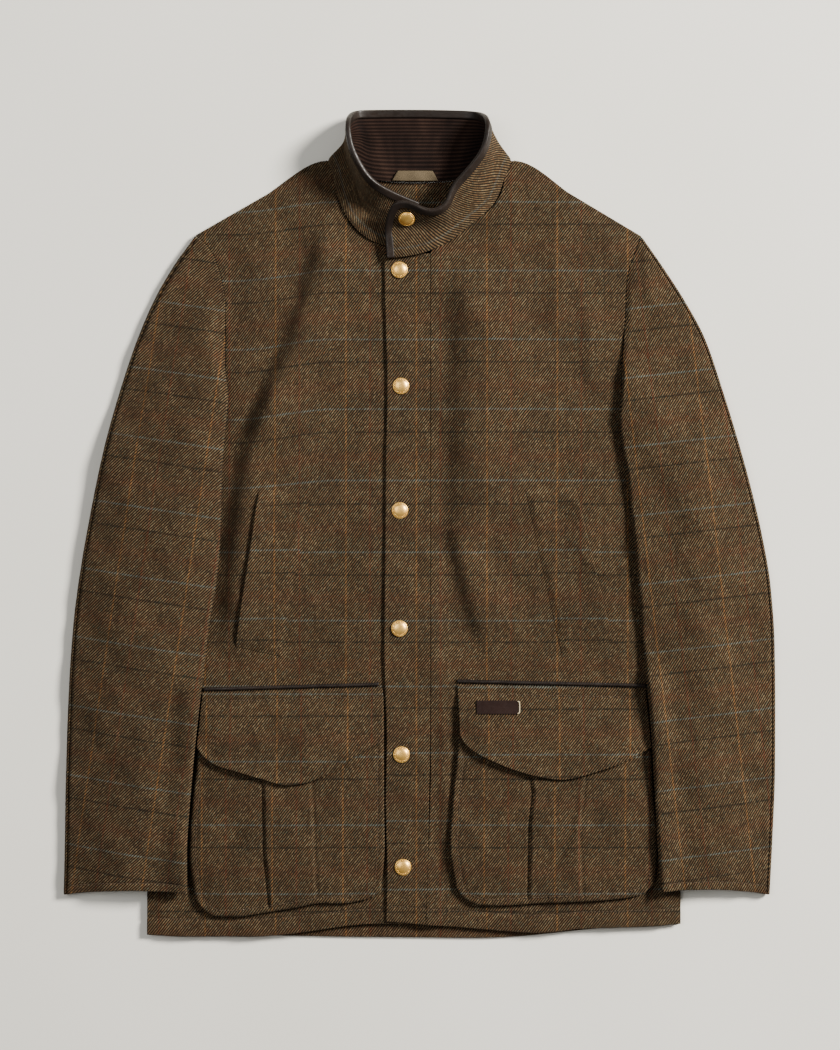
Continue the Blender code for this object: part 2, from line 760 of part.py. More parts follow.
def collar_surface():
    """The collar's middle surface as a grid [station, up, xyz], and its normals on the corduroy side."""
    rows = np.array(list(COLLAR_STATIONS.values()))
    knots = np.arange(len(rows), dtype=float)
    places = np.linspace(0.0, len(rows) - 1.0, (len(rows) - 1) * COLLAR_SPANS + 1)
    lines = flow_at(knots, rows, places)
    creases = np.array([0.0, COLLAR_CREASE, 1.0])
    grid = np.array([flow_at(creases, line.reshape(3, 3), COLLAR_UP) for line in lines])
    around = np.gradient(grid, axis=0)
    up = np.gradient(grid, axis=1)
    normals = np.cross(around, up)
    normals /= np.linalg.norm(normals, axis=2, keepdims=True)
    return grid, normals


def make_collar():
    grid, normals = collar_surface()
    near = COLLAR_GAP / 2.0
    far = near + COLLAR_WALL
    add_sheet("collar_outer", grid - normals * near, grid - normals * far, "tweed")
    add_sheet("collar_facing", grid + normals * far, grid + normals * near, "corduroy")
    make_edge_binding(grid, normals, far)
    make_end_binding(grid, normals, far)
    make_loop(grid, normals, far)
    make_collar_stud(grid, normals, far)


def mixed(here, there, part):
    return here + (there - here) * part


def channel(legs, edge, beyond, leg_normals, edge_normal, far):
    """The inner and outer surfaces of a U-shaped binding, as grids [along, round the edge, xyz]."""
    low = far + BINDING_GAP
    high = low + BINDING_WALL
    inner = []
    outer = []
    for sign in (-1.0, 1.0):
        inner_leg = legs + leg_normals * sign * low
        outer_leg = legs + leg_normals * sign * high
        rim_in = edge + edge_normal * sign * low * 1.06 + beyond * SEAM_GAP
        rim_out = edge + edge_normal * sign * high * 0.8 + beyond * (SEAM_GAP + BINDING_WALL * 0.8)
        legs_in = [inner_leg[:, 0], inner_leg[:, 1], rim_in]
        legs_out = [outer_leg[:, 0], outer_leg[:, 1], rim_out]
        if sign > 0:
            legs_in.reverse()
            legs_out.reverse()
        inner += legs_in
        outer += legs_out
    tip_in = edge + beyond * 2.0 * SEAM_GAP
    tip_out = edge + beyond * (2.0 * SEAM_GAP + BINDING_WALL)
    inner.insert(3, tip_in)
    outer.insert(3, tip_out)
    return np.stack(outer, axis=1), np.stack(inner, axis=1)


def make_edge_binding(grid, normals, far):
    legs = grid[:, BINDING_FROM:-1]
    edge = grid[:, -1]
    beyond = edge - grid[:, -2]
    beyond /= np.linalg.norm(beyond, axis=1, keepdims=True)
    outer, inner = channel(legs, edge, beyond, normals[:, BINDING_FROM:-1], normals[:, -1], far)
    add_sheet("collar_binding", outer, inner, "leather")


def make_end_binding(grid, normals, far):
    """The binding down the collar's left front end, from under the edge binding to the neck seam."""
    top = mixed(grid[:, BINDING_FROM], grid[:, BINDING_FROM - 1], END_BINDING_STOP)
    lines = np.concatenate([grid[:, :BINDING_FROM], top[:, None]], axis=1)
    lifts = normals[:, : BINDING_FROM + 1]
    step = np.linalg.norm(lines[-1] - lines[-2], axis=1).mean()
    parts = (BINDING_DEPTH / step, 0.4 * BINDING_DEPTH / step)
    legs = np.stack([mixed(lines[-1], lines[-2], part) for part in parts], axis=1)
    leg_lifts = np.stack([mixed(lifts[-1], lifts[-2], part) for part in parts], axis=1)
    beyond = lines[-1] - lines[-2]
    beyond /= np.linalg.norm(beyond, axis=1, keepdims=True)
    outer, inner = channel(legs, lines[-1], beyond, leg_lifts, lifts[-1], far)
    add_sheet("collar_end_binding", outer, inner, "leather")


def make_loop(grid, normals, far):
    """A short ribbon that lies on the facing along the back neck."""
    low = far + SEAM_GAP
    centre = list(COLLAR_STATIONS).index("back_mid") * COLLAR_SPANS
    ribbon = grid[centre - 1 : centre + 2, 0:2]
    lift = normals[centre - 1 : centre + 2, 0:2]
    strip = np.stack([mixed(ribbon[:, 0], ribbon[:, 1], place) for place in LOOP_PLACES], axis=1)
    add_sheet("locker_loop", strip + lift * (low + LOOP_WALL), strip + lift * low, "ribbon")


def make_collar_stud(grid, normals, far):
    station = list(COLLAR_STATIONS).index(COLLAR_STUD_STATION) * COLLAR_SPANS
    line = grid[station]
    place = np.interp(COLLAR_STUD_PART, COLLAR_UP, np.arange(len(COLLAR_UP)))
    low = int(place)
    part = place - low
    centre = line[low] * (1.0 - part) + line[low + 1] * part
    out = -(normals[station, low] * (1.0 - part) + normals[station, low + 1] * part)
    add_stud("snap_collar", centre + out * (far + COLLAR_STUD_LIFT), out, "brass")


SIDES = {
    "right": {
        "front": RIGHT_FRONT_SECTIONS,
        "sleeve": RIGHT_SLEEVE_SECTIONS,
        "pocket": RIGHT_POCKET_SECTIONS,
        "pocket_foot": RIGHT_POCKET_FOOT,
        "flap_foot": RIGHT_FLAP_FOOT,
        "seam": FLAP_SEAMS["right"],
        "hem": RIGHT_FRONT_HEM,
    },
    "left": {
        "front": LEFT_FRONT_SECTIONS,
        "sleeve": LEFT_SLEEVE_SECTIONS,
        "pocket": LEFT_POCKET_SECTIONS,
        "pocket_foot": LEFT_POCKET_FOOT,
        "flap_foot": LEFT_FLAP_FOOT,
        "seam": FLAP_SEAMS["left"],
        "hem": LEFT_FRONT_HEM,
    },
}


def build():
    for old in list(bpy.data.objects):
        bpy.data.objects.remove(old, do_unlink=True)
    make_back()
    make_placket()
    on_front = FRONT_TOP + SEAM_GAP
    for side, parts in SIDES.items():
        make_front(f"front_{side}", parts["front"], parts["hem"])
        make_pocket(f"pocket_{side}", parts["pocket"], parts["pocket_foot"], PLEATS[side])
        make_flap(f"flap_{side}", parts["seam"], parts["flap_foot"], parts["pocket"], parts["pocket_foot"])
        make_bar(f"flap_trim_{side}", FLAP_TRIMS[side], TRIM_WIDTH, on_front, TRIM_WALL, "leather")
        make_patch(f"welt_{side}", WELTS[side], on_front, WELT_WALL, "tweed")
        make_sleeve(f"sleeve_{side}", side)
    make_collar()
    on_flap = FRONT_TOP + 3.0 * SEAM_GAP + POCKET_WALL + FLAP_WALL
    make_patch("label_patch", LABEL_CORNERS, on_flap + LABEL_LIFT, LABEL_WALL, "leather")
    on_placket = FRONT_TOP + PLACKET_RISE + SEAM_GAP
    for name, (x, y) in STUDS.items():
        add_stud(name, np.array([x, y, on_placket]), (0.0, 0.0, 1.0), "brass")


build()
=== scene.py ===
"""The looks of the tweed jacket that lies flat on its back: cloth, corduroy, leather, brass and stitching.

Lengths in the tables are millimetres in the frame's axes: X to the picture's right, Y towards the collar,
Z up from the surface that the jacket lies on. Right and left are the wearer's, so right has negative X.
"""

import math

import bmesh
import bpy
import numpy as np
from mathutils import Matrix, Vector
from mathutils.bvhtree import BVHTree


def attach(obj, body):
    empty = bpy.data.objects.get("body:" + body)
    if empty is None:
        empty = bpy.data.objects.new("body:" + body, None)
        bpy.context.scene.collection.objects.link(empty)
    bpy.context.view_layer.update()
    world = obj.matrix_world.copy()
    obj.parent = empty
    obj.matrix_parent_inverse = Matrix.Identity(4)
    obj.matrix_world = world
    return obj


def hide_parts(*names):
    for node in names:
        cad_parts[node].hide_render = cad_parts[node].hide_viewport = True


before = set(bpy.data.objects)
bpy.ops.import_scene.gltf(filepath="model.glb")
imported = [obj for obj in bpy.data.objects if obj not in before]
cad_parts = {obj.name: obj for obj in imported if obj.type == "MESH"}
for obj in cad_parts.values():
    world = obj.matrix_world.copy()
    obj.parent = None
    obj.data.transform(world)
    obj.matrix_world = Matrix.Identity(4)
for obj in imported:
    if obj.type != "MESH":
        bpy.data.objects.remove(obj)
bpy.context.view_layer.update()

MILLIMETRE = 0.001
BODY = "root"

# Cloth, and how high its layers lie
WALL = 3.0
SEAM_GAP = 0.3
ARMHOLE_GAP = 0.15
LAYER_GAP = 2.5
BACK_TOP = WALL
FRONT_TOP = BACK_TOP + LAYER_GAP + WALL
SEAM_DROP = 2.2
SEAM_ROLL = 22.0

# Placket
PLACKET_WALL = 2.5
PLACKET_RISE = SEAM_GAP + PLACKET_WALL
PLACKET_FALL = 22.0

# Pockets, flaps and welts
POCKET_WALL = 2.5
POCKET_BULGE = 1.2
POCKET_ROLL = 35.0
POCKET_MOUTH = -180.0
POCKET_FULL = -235.0
FLAP_WALL = 2.0
TRIM_WALL = 2.2
WELT_WALL = 1.8
LABEL_WALL = 1.0

# Sleeves
SLEEVE_THICK = 8.5
SLEEVE_CLEAR = 0.7
BODY_MARGIN = 14.0
BODY_FALL = 84.0
POCKET_MARGIN = 6.0
POCKET_FALL = 24.0
ARMHOLE_FADE = 4
LAP_FROM = 0.86

# Collar
COLLAR_WALL = 1.4
COLLAR_GAP = 0.3
BINDING_WALL = 1.1
LOOP_WALL = 0.8

# Press studs
STUD_RADIUS = 8.75
STUD_HEIGHT = 3.4

# Each row: outer (side) x, y, then inner (neck or front edge) x, y
RIGHT_FRONT_SECTIONS = {
    "shoulder": (-236.9, 305.3, -98.1, 384.8),
    "sleeve_head": (-222.1, 291.5, -89.6, 369.9),
    "head_low": (-212.5, 270.3, -87.5, 348.7),
    "yoke": (-207.9, 252.3, -79.0, 327.5),
    "chest_top": (-205.1, 231.1, -65.2, 308.5),
    "chest_high": (-205.1, 200.3, -26.0, 289.4),
    "chest_mid": (-205.1, 168.5, 5.8, 282.0),
    "armhole_foot": (-205.1, 142.0, 5.8, 216.2),
    "underarm_mid": (-227.4, 101.8, 5.8, 142.0),
    "underarm": (-283.6, 59.4, 5.8, 73.1),
    "ribs": (-284.6, -38.2, 5.8, -38.2),
    "waist": (-286.2, -144.2, 5.8, -144.2),
    "hip": (-287.3, -250.2, 5.8, -250.2),
    "pocket": (-287.8, -345.6, 5.8, -345.6),
    "hem": (-288.2, -434.6, 5.8, -422.9),
}
LEFT_FRONT_SECTIONS = {
    "shoulder": (234.8, 304.2, 100.2, 384.8),
    "sleeve_head": (227.4, 287.3, 90.6, 368.9),
    "head_low": (221.0, 269.2, 87.5, 354.0),
    "yoke": (218.4, 253.3, 77.9, 336.0),
    "chest_top": (217.3, 226.8, 64.1, 324.4),
    "chest_high": (215.7, 195.0, 49.3, 312.7),
    "chest_mid": (213.6, 160.1, 30.2, 297.9),
    "armhole_foot": (213.6, 117.7, 11.7, 286.2),
    "underarm_mid": (234.8, 81.6, 11.7, 195.0),
    "underarm": (276.1, 57.2, 11.7, 99.6),
    "ribs": (276.1, -38.2, 11.7, -38.2),
    "waist": (276.1, -144.2, 11.7, -144.2),
    "hip": (276.7, -250.2, 11.7, -250.2),
    "pocket": (276.1, -345.6, 9.0, -345.6),
    "hem": (276.1, -422.9, 6.4, -423.5),
}
PLACKET_SECTIONS = {
    "neck": (-37.6, 283.6, 10.9, 285.7),
    "snap_1": (-37.0, 248.0, 10.9, 248.0),
    "chest": (-35.5, 188.7, 10.9, 188.7),
    "snap_2": (-34.5, 146.3, 10.9, 146.3),
    "ribs": (-36.0, 57.2, 10.9, 57.2),
    "waist": (-36.6, -23.3, 10.9, -23.3),
    "snap_4": (-37.6, -133.6, 10.9, -133.6),
    "pocket": (-35.0, -229.0, 10.6, -229.0),
    "snap_5": (-36.0, -292.6, 9.5, -292.6),
    "snap_6": (-34.5, -363.6, 8.0, -363.6),
    "hem": (-35.5, -419.8, 5.6, -423.2),
}

# Each row: x, y along an edge
RIGHT_FRONT_HEM = (
    (-288.2, -434.6),
    (-240.1, -436.2),
    (-177.6, -436.2),
    (-144.2, -434.2),
    (-110.8, -429.9),
    (-81.1, -425.4),
    (-52.5, -422.9),
    (5.8, -422.9),
)
LEFT_FRONT_HEM = (
    (276.1, -422.9),
    (243.3, -425.6),
    (168.0, -428.2),
    (152.1, -430.4),
    (121.4, -432.1),
    (90.6, -430.4),
    (39.8, -426.1),
    (6.4, -423.5),
)
BACK_HEM = (
    (-288.2, -434.6),
    (-200.9, -435.7),
    (-130.9, -436.2),
    (-73.7, -437.2),
    (0.5, -437.8),
    (59.9, -438.4),
    (110.8, -436.2),
    (141.5, -433.1),
    (191.3, -428.2),
    (276.1, -422.9),
)
BACK_SHOULDERS = (
    (-236.9, 305.3),
    (-222.0, 313.9),
    (-167.0, 345.6),
    (-98.1, 384.8),
    (-71.5, 372.1),
    (-47.2, 363.6),
    (-3.7, 360.9),
    (39.8, 363.6),
    (69.4, 373.1),
    (100.2, 384.8),
    (167.0, 344.5),
    (220.0, 312.9),
    (234.8, 304.2),
)

# Each row: outer fold x, y, then inner fold x, y
RIGHT_SLEEVE_SECTIONS = {
    "armhole": (-236.9, 305.3, -201.9, 131.4),
    "head": (-262.4, 269.2, -203.5, 115.5),
    "head_low": (-282.5, 233.2, -205.1, 97.5),
    "bicep": (-302.6, 184.4, -207.2, 73.1),
    "bicep_low": (-321.2, 126.1, -208.8, 41.3),
    "underarm": (-334.4, 75.3, -209.4, 12.7),
    "upper": (-348.2, 9.5, -210.7, -23.3),
    "elbow_high": (-357.8, -43.5, -215.0, -65.7),
    "elbow": (-365.2, -96.5, -222.1, -107.1),
    "elbow_low": (-370.5, -165.4, -229.5, -177.0),
    "forearm": (-373.1, -229.0, -235.9, -235.3),
    "forearm_low": (-374.7, -292.6, -241.7, -297.9),
    "wrist": (-375.5, -345.6, -244.5, -345.6),
    "cuff": (-376.6, -392.2, -244.3, -389.0),
}
LEFT_SLEEVE_SECTIONS = {
    "armhole": (234.8, 304.2, 211.5, 110.2),
    "head": (259.2, 269.2, 212.5, 97.5),
    "head_low": (280.4, 236.4, 214.1, 82.7),
    "bicep": (301.6, 197.2, 216.8, 65.7),
    "bicep_low": (320.7, 142.0, 220.0, 44.5),
    "underarm": (336.6, 89.0, 223.1, 14.8),
    "upper": (349.3, 43.5, 225.8, -14.8),
    "elbow_high": (362.0, -9.5, 229.3, -51.9),
    "elbow": (371.5, -64.7, 233.2, -98.6),
    "elbow_low": (375.9, -128.3, 238.0, -152.6),
    "forearm": (376.6, -191.9, 242.2, -202.5),
    "forearm_low": (376.3, -260.8, 247.0, -274.5),
    "wrist": (373.7, -329.7, 250.2, -335.0),
    "cuff": (370.5, -392.2, 253.9, -387.4),
}
CUFF_BOW = 4.5
CUFF_ROWS = 3.0

# Each row: neck seam x, y, z, then crease x, y, z, then free edge x, y, z
COLLAR_STATIONS = {
    "right_end": (2.7, 289.0, 10.4, 1.6, 305.3, 10.5, -0.5, 337.1, 22.0),
    "right_front": (-37.6, 293.6, 10.4, -31.3, 309.5, 11.0, -24.9, 346.1, 30.0),
    "right_mid": (-67.3, 310.6, 10.4, -58.8, 330.7, 11.0, -48.2, 357.8, 40.0),
    "right_side": (-86.4, 343.4, 10.4, -68.4, 361.5, 12.5, -63.1, 376.3, 46.0),
    "right_shoulder": (-92.8, 373.1, 9.8, -75.7, 382.7, 13.5, -72.1, 396.4, 48.0),
    "right_fold": (-98.1, 384.8, 8.4, -79.9, 404.9, 13.0, -74.7, 415.5, 46.0),
    "right_back_corner": (-71.5, 373.1, 5.2, -63.0, 403.7, 6.0, -73.1, 428.2, 30.0),
    "back_right": (-47.2, 363.6, 4.9, -52.6, 398.6, 4.5, -64.7, 435.7, 11.0),
    "back_mid": (-4.8, 361.5, 4.9, -3.7, 398.6, 4.0, -2.7, 436.7, 7.5),
    "back_left": (37.6, 363.1, 4.9, 48.2, 398.6, 4.5, 57.8, 434.6, 11.0),
    "left_back_corner": (64.1, 373.1, 5.2, 68.4, 401.7, 8.0, 68.4, 428.2, 28.0),
    "left_fold": (99.1, 384.8, 8.4, 85.3, 399.6, 14.0, 71.5, 416.6, 40.0),
    "left_shoulder": (90.6, 368.9, 9.8, 81.1, 382.7, 16.0, 67.3, 393.3, 42.0),
    "left_side": (81.1, 340.3, 10.4, 64.1, 350.9, 18.0, 50.4, 371.0, 38.0),
    "left_mid": (53.5, 315.9, 10.4, 42.9, 329.7, 14.5, 33.4, 351.9, 36.0),
    "left_turn": (32.3, 298.9, 11.8, 28.1, 311.5, 14.5, 28.1, 335.0, 36.0),
    "left_front": (5.8, 286.2, 15.0, 9.0, 308.6, 16.5, 11.1, 326.5, 37.0),
    "left_snap": (-14.3, 282.0, 15.5, -14.3, 308.5, 17.0, -13.2, 337.1, 38.0),
    "left_corner": (-27.0, 280.6, 15.5, -28.0, 307.5, 17.0, -27.0, 336.0, 37.0),
    "left_end": (-33.4, 279.8, 15.5, -35.0, 303.0, 16.5, -35.6, 324.0, 28.0),
}

# Each row: outer edge x, y, then inner edge x, y
RIGHT_POCKET_SECTIONS = {
    "mouth": (-232.7, -181.5, -37.6, -179.4),
    "under_flap": (-234.8, -237.4, -37.6, -229.0),
    "middle": (-241.7, -306.3, -37.4, -292.6),
    "low": (-243.7, -345.6, -36.8, -340.3),
    "corner": (-236.9, -394.3, -40.8, -385.8),
}
LEFT_POCKET_SECTIONS = {
    "mouth": (239.0, -179.4, 42.9, -179.4),
    "under_flap": (244.3, -235.3, 41.6, -222.6),
    "middle": (247.0, -282.0, 35.5, -286.2),
    "low": (251.2, -340.3, 32.3, -340.3),
    "corner": (248.6, -379.5, 38.7, -383.7),
}
RIGHT_POCKET_FOOT = (
    (-236.9, -394.3),
    (-227.4, -407.0),
    (-213.6, -414.5),
    (-193.5, -414.5),
    (-162.7, -410.2),
    (-132.0, -405.5),
    (-103.4, -400.2),
    (-79.0, -400.4),
    (-61.0, -397.5),
    (-48.2, -392.7),
    (-40.8, -385.8),
)
LEFT_POCKET_FOOT = (
    (248.6, -379.5),
    (233.7, -391.1),
    (213.6, -395.4),
    (173.3, -398.6),
    (122.4, -400.7),
    (82.2, -402.8),
    (64.1, -402.4),
    (47.2, -395.4),
    (38.7, -383.7),
)
RIGHT_FLAP_FOOT = (
    (-234.8, -235.3),
    (-227.4, -244.9),
    (-213.6, -254.4),
    (-193.5, -260.3),
    (-167.0, -268.2),
    (-140.5, -275.0),
    (-124.0, -273.5),
    (-111.8, -269.9),
    (-91.7, -260.3),
    (-75.8, -249.1),
    (-51.4, -235.3),
    (-38.7, -229.0),
)
LEFT_FLAP_FOOT = (
    (244.3, -235.3),
    (213.6, -251.2),
    (183.9, -261.4),
    (159.5, -268.2),
    (151.1, -269.2),
    (130.9, -267.1),
    (102.3, -259.7),
    (77.9, -250.2),
    (49.3, -233.2),
    (42.6, -222.6),
)

# Each row: x, y at the outer end, then x, y at the inner end
FLAP_SEAMS = {
    "right": (-229.5, -179.1, -38.7, -173.8),
    "left": (239.0, -174.9, 39.8, -170.1),
}
FLAP_TRIMS = {
    "right": (-228.4, -174.6, -42.9, -169.3),
    "left": (239.0, -170.6, 39.8, -166.0),
}
TRIM_WIDTH = 4.0

# Each row: corners as x, y, from the upper outer one round to the lower outer one
WELTS = {
    "right": ((-169.1, 36.0), (-115.0, 35.0), (-146.8, -139.9), (-194.5, -129.3)),
    "left": ((164.8, 39.2), (111.8, 36.0), (150.0, -136.7), (204.1, -123.0)),
}

# Each row: centre x, y of a press stud on the placket
STUDS = {
    "snap_1": (-21.2, 268.2),
    "snap_2": (-19.6, 145.8),
    "snap_3": (-20.7, 14.3),
    "snap_4": (-21.2, -110.2),
    "snap_5": (-19.1, -243.3),
    "snap_6": (-17.5, -362.0),
}
COLLAR_STUD_STATION = "left_snap"
COLLAR_STUD_PART = 0.72
COLLAR_STUD_LIFT = 1.6

# Corners as x, y
LABEL_CORNERS = ((59.9, -186.0), (104.4, -186.0), (104.4, -200.3), (59.9, -200.3))

# Thread and stitches
# The pale stitch round the label's far end, each row x, y
LABEL_THREAD = (
    (103.2, -186.9),
    (105.1, -187.6),
    (105.4, -193.2),
    (105.1, -198.8),
    (103.2, -199.5),
)
LABEL_THREAD_POINTS = 25
THREAD_RADIUS = 0.55
THREAD_SIDES = 8
STITCH_STEP = 4.3
STITCH_LENGTH = 3.0
STITCH_RADIUS = 0.36
# A stitch's points along its length, and how high each lies over the cloth in thread radii
STITCH_PARTS = np.array((0.0, 0.2, 0.5, 0.8, 1.0))
STITCH_ARCH = np.array((-0.8, 0.6, 1.0, 0.6, -0.8))
STITCH_SEARCH = 200.0
RIM_STITCH_TOP = -234.0
RIM_STITCH_STEP = 1.5
RIM_STITCH_CLEAR = 0.93

# Cut and build of the flat pieces
# Each row: width and length of the cloth that the piece was cut from
CUT_SIZES = {
    "back": (580.0, 830.0),
    "front": (320.0, 830.0),
    "placket": (48.5, 710.0),
    "pocket": (290.0, 240.0),
    "flap": (206.0, 100.0),
    "welt": (56.0, 180.0),
    "sleeve": (380.0, 620.0),
    "collar": (640.0, 75.0),
}
# Each row: how far apart the piece's points are
GRID_STEPS = {
    "back": 5.76,
    "front": 3.6,
    "placket": 2.4,
    "pocket": 1.7,
    "flap_across": 2.0,
    "flap_down": 1.8,
    "trim": 1.2,
    "welt": 2.0,
    "label": 1.0,
    "sleeve": 3.6,
}
# Each row: radius of the edges along the first column, last column, first row and last row
EDGE_RADII = {
    "back": (1.2, 1.2, 1.2, 1.2),
    "front_right": (0.7, 1.2, 1.2, 1.2),
    "front_left": (0.7, 0.7, 1.2, 1.2),
    "placket": (1.2, 0.7, 1.2, 1.2),
    "pocket": (4.6, 2.2, 0.5, 3.0),
    "flap": (0.8, 0.8, 0.8, 1.0),
    "trim": (0.9, 0.9, 1.9, 1.9),
    "welt": (0.9, 0.2, 0.2, 0.2),
    "label": (0.5, 0.5, 0.5, 0.5),
}
CHECK_SHIFTS = {
    "back": (0.0, 0.0),
    "front": (0.0, 0.0),
    "placket": (0.0, 0.0),
    "pocket": (3.0, 4.0),
    "flap_right": (-2.0, 8.5),
    "flap_left": (-2.0, 1.0),
    "welt": (1.0, -2.5),
}
# Distances from an edge at which a piece has points of its own
EDGE_PLACES = (0.0, 0.25, 0.7, 1.3, 2.2)
EDGE_CLEAR = 0.4
UNDER_ROLL = 0.4
FRONT_CLOTH = 1.7
HEM_FADE = 60.0
POCKET_FADE = 45.0

# Seams and stitched edges
HEM_STITCH = 17.0
HEM_PUFF = 0.7
CUFF_STITCH = 8.5
RIM_STITCH = 7.0
FLAP_STITCH = 8.5
WELT_STITCH = 3.4
PUCKER = 0.22
PUCKER_PITCH = 17.0
PUCKER_SLANT = 0.35
# The second wave of the puckers: its strength, its pitch against the first one's and its phase
PUCKER_SECOND = (0.6, 1.73, 1.1)
FURROW = 0.85
FURROW_HALF = 1.2
# Places across a furrow in half-widths, where the cloth has points of its own
FURROW_PLACES = np.array((-2.2, -1.2, -0.6, 0.0, 0.6, 1.2, 2.2))
FURROW_CLEAR = 3.0

CHECK_ORIGIN = (-152.1, 340.3)
CHECK_DRIFT = 7.5
CHECK_DRIFT_AT = -60.0
CHECK_DRIFT_SPAN = 130.0
CHECK_SAG = 11.0
CHECK_SAG_FROM = (-85.0, -40.0)
CHECK_SAG_REACH = (110.0, 120.0)

# Folds in the cloth. Each row: half-width of the slope, height, reach to the sides, then the points of its
# line. Going along the line, the cloth stands up on its left and dips on its right.
FRONT_FOLDS = (
    (11.0, 6.4, 50.0, (
        (-92.0, 328.0), (-108.0, 296.0), (-122.0, 245.0), (-140.0, 192.0), (-166.0, 132.0), (-186.0, 84.0),
    )),
    (11.0, 7.2, 50.0, ((-150.0, 160.0), (-184.0, 84.0), (-197.0, 4.0), (-203.0, -60.0), (-210.0, -146.0))),
    (20.0, 7.4, 84.0, ((38.0, 285.0), (38.0, 220.0), (36.0, 120.0), (32.0, -30.0))),
    (9.0, 4.2, 30.0, ((28.0, 20.0), (36.0, -34.0), (46.0, -70.0), (66.0, -134.0))),
    (7.0, 1.5, 18.0, ((72.0, -8.0), (98.0, -46.0), (132.0, -86.0))),
    (7.0, 1.3, 18.0, ((150.0, -8.0), (176.0, -44.0), (206.0, -68.0))),
    (12.0, 1.8, 28.0, ((134.0, 328.0), (138.0, 265.0), (138.0, 190.0))),
    (7.0, 1.5, 18.0, ((165.0, 265.0), (171.0, 215.0), (176.0, 136.0))),
    (14.0, 2.0, 34.0, ((-180.0, 294.0), (-184.0, 240.0), (-196.0, 190.0))),
    (18.0, 1.8, 40.0, ((-60.0, 60.0), (-70.0, -40.0), (-96.0, -150.0))),
    (5.0, 2.2, 14.0, ((21.0, -170.0), (22.0, -260.0), (26.0, -395.0))),
)
SLEEVE_FOLDS = (
    (6.0, 0.9, 18.0, ((-229.0, 298.0), (-228.0, 226.0))),
    (12.0, 0.8, 34.0, ((-226.0, 214.0), (-256.0, 80.0), (-270.0, -44.0))),
    (12.0, 1.2, 30.0, ((-300.0, -180.0), (-296.0, -260.0), (-306.0, -350.0))),
    (5.0, 1.6, 14.0, ((233.0, 299.0), (241.0, 222.0))),
    (14.0, 1.2, 34.0, ((268.0, 90.0), (276.0, -40.0), (290.0, -160.0))),
)
POCKET_FOLDS = (
    (4.0, 1.2, 14.0, ((172.0, -283.0), (163.0, -322.0), (150.0, -362.0))),
    (8.0, 0.8, 20.0, ((-180.0, -290.0), (-190.0, -340.0), (-196.0, -396.0))),
    (8.0, 0.7, 20.0, ((90.0, -270.0), (84.0, -320.0), (80.0, -380.0))),
)
# The part of a fold's height that it stands above the cloth round it, its sharpness and its faded ends
FOLD_STAND = 0.42
FOLD_SHARPNESS = 1.3
FOLD_ENDS = 0.22
LOWEST_DIP = -3.3
# Each row: height, length of a wave along X and along Y, and its phase
RIPPLES = (
    (0.5, 97.0, 143.0, 0.4),
    (0.4, 61.0, -88.0, 1.9),
    (0.25, 39.0, 55.0, 4.2),
    (0.15, -27.0, 31.0, 2.6),
)
# How near the collar and the sleeves the folds start to fade, and over which distance
COLLAR_NEAR = 4.0
COLLAR_FREE = 26.0
SLEEVE_FREE = 9.0

# The placket's free edges
PLACKET_REACH = 0.55
PLACKET_REACH_FADE = 10.0
PLACKET_LIP = 0.5
PLACKET_LIP_WIDTH = 9.0

# How the pockets, flaps and welts stand
POCKET_LIFT = 3.2
POCKET_LIFT_FROM = 6.0
POCKET_LIFT_FALL = 60.0
POCKET_RIM = 12.0
MOUTH_SINK = 1.1
# Each row: distance below the pocket's mouth, and the way over which the change fades
MOUTH_FADES = {
    "stitches": (8.0, 12.0),
    "sink": (16.0, 24.0),
    "pleat": (28.0, 30.0),
}
PLEAT_STEP = 2.2
# Each row: softness of the pleat's edge, then depth and half-width of the groove beside it
PLEAT_EDGES = {
    "crisp": (1.2, 2.2, 1.2),
    "soft": (3.0, 1.5, 1.3),
}
GROOVE_AWAY = 1.0
# Each row: x, y down the folds on the picture's left, then on its right
PLEAT_LINES = {
    "right": (
        ((-163.8, -262.0), (-163.8, -272.0), (-162.7, -346.0), (-157.4, -400.0)),
        ((-114.0, -262.0), (-114.0, -273.0), (-111.8, -336.0), (-108.7, -398.0)),
    ),
    "left": (
        ((118.2, -255.0), (118.2, -263.0), (120.3, -285.0), (117.1, -316.0), (115.6, -400.0)),
        ((174.4, -255.0), (174.4, -265.0), (171.2, -296.0), (168.0, -326.0), (171.2, -390.0)),
    ),
}
FLAP_CURL = 1.9
FLAP_CURL_REACH = 12.0
FLAP_HINGE = 26.0
WELT_LIFT = 2.2
WELT_MOUTH = 24.0
WELT_ENDS = 20.0
WELT_SEAT = 0.1
WELT_EDGE_WALL = 0.35
WELT_EDGE_REACH = 5.0
WELT_FURROW = 0.6
LABEL_SEAT = 0.25

# How the sleeves lie
SLEEVE_TOP_POINTS = 42
SLEEVE_LOW_POINTS = 26
SLEEVE_FOLD_POINTS = 9
# Each row: height of the crown, its place across from the outer fold, lift of the inner fold, length of the rise
SLEEVE_FORM = {
    "right": (7.0, 0.6, 1.0, 34.0),
    "left": (3.2, 0.5, -0.4, 9.0),
}
CROWN_FULLNESS = 0.9
FOLD_LIFT_SPAN = 0.9
FOLD_LIFT_FROM = 0.05
SLEEVE_RIPPLE = 1.5
CUFF_FLATTENING = 0.45
CUFF_FLAT_REACH = 60.0
CUFF_PUCKER_REACH = 14.0
CUFF_ROLL = 1.3
UNDERARM_REACH = 60.0
UNDERARM_LOW = 60.0
# Each row: turn of the threads in degrees, a point of the sleeve, and that point's place in the check
SLEEVE_GRAIN = {
    "right": (8.5, (-252.8, -123.0), (0.0, 12.0)),
    "left": (-6.5, (249.6, -123.0), (0.0, 12.0)),
}

# How the collar, its binding and its loop are built
COLLAR_CREASE = 0.45
COLLAR_FINE = 12
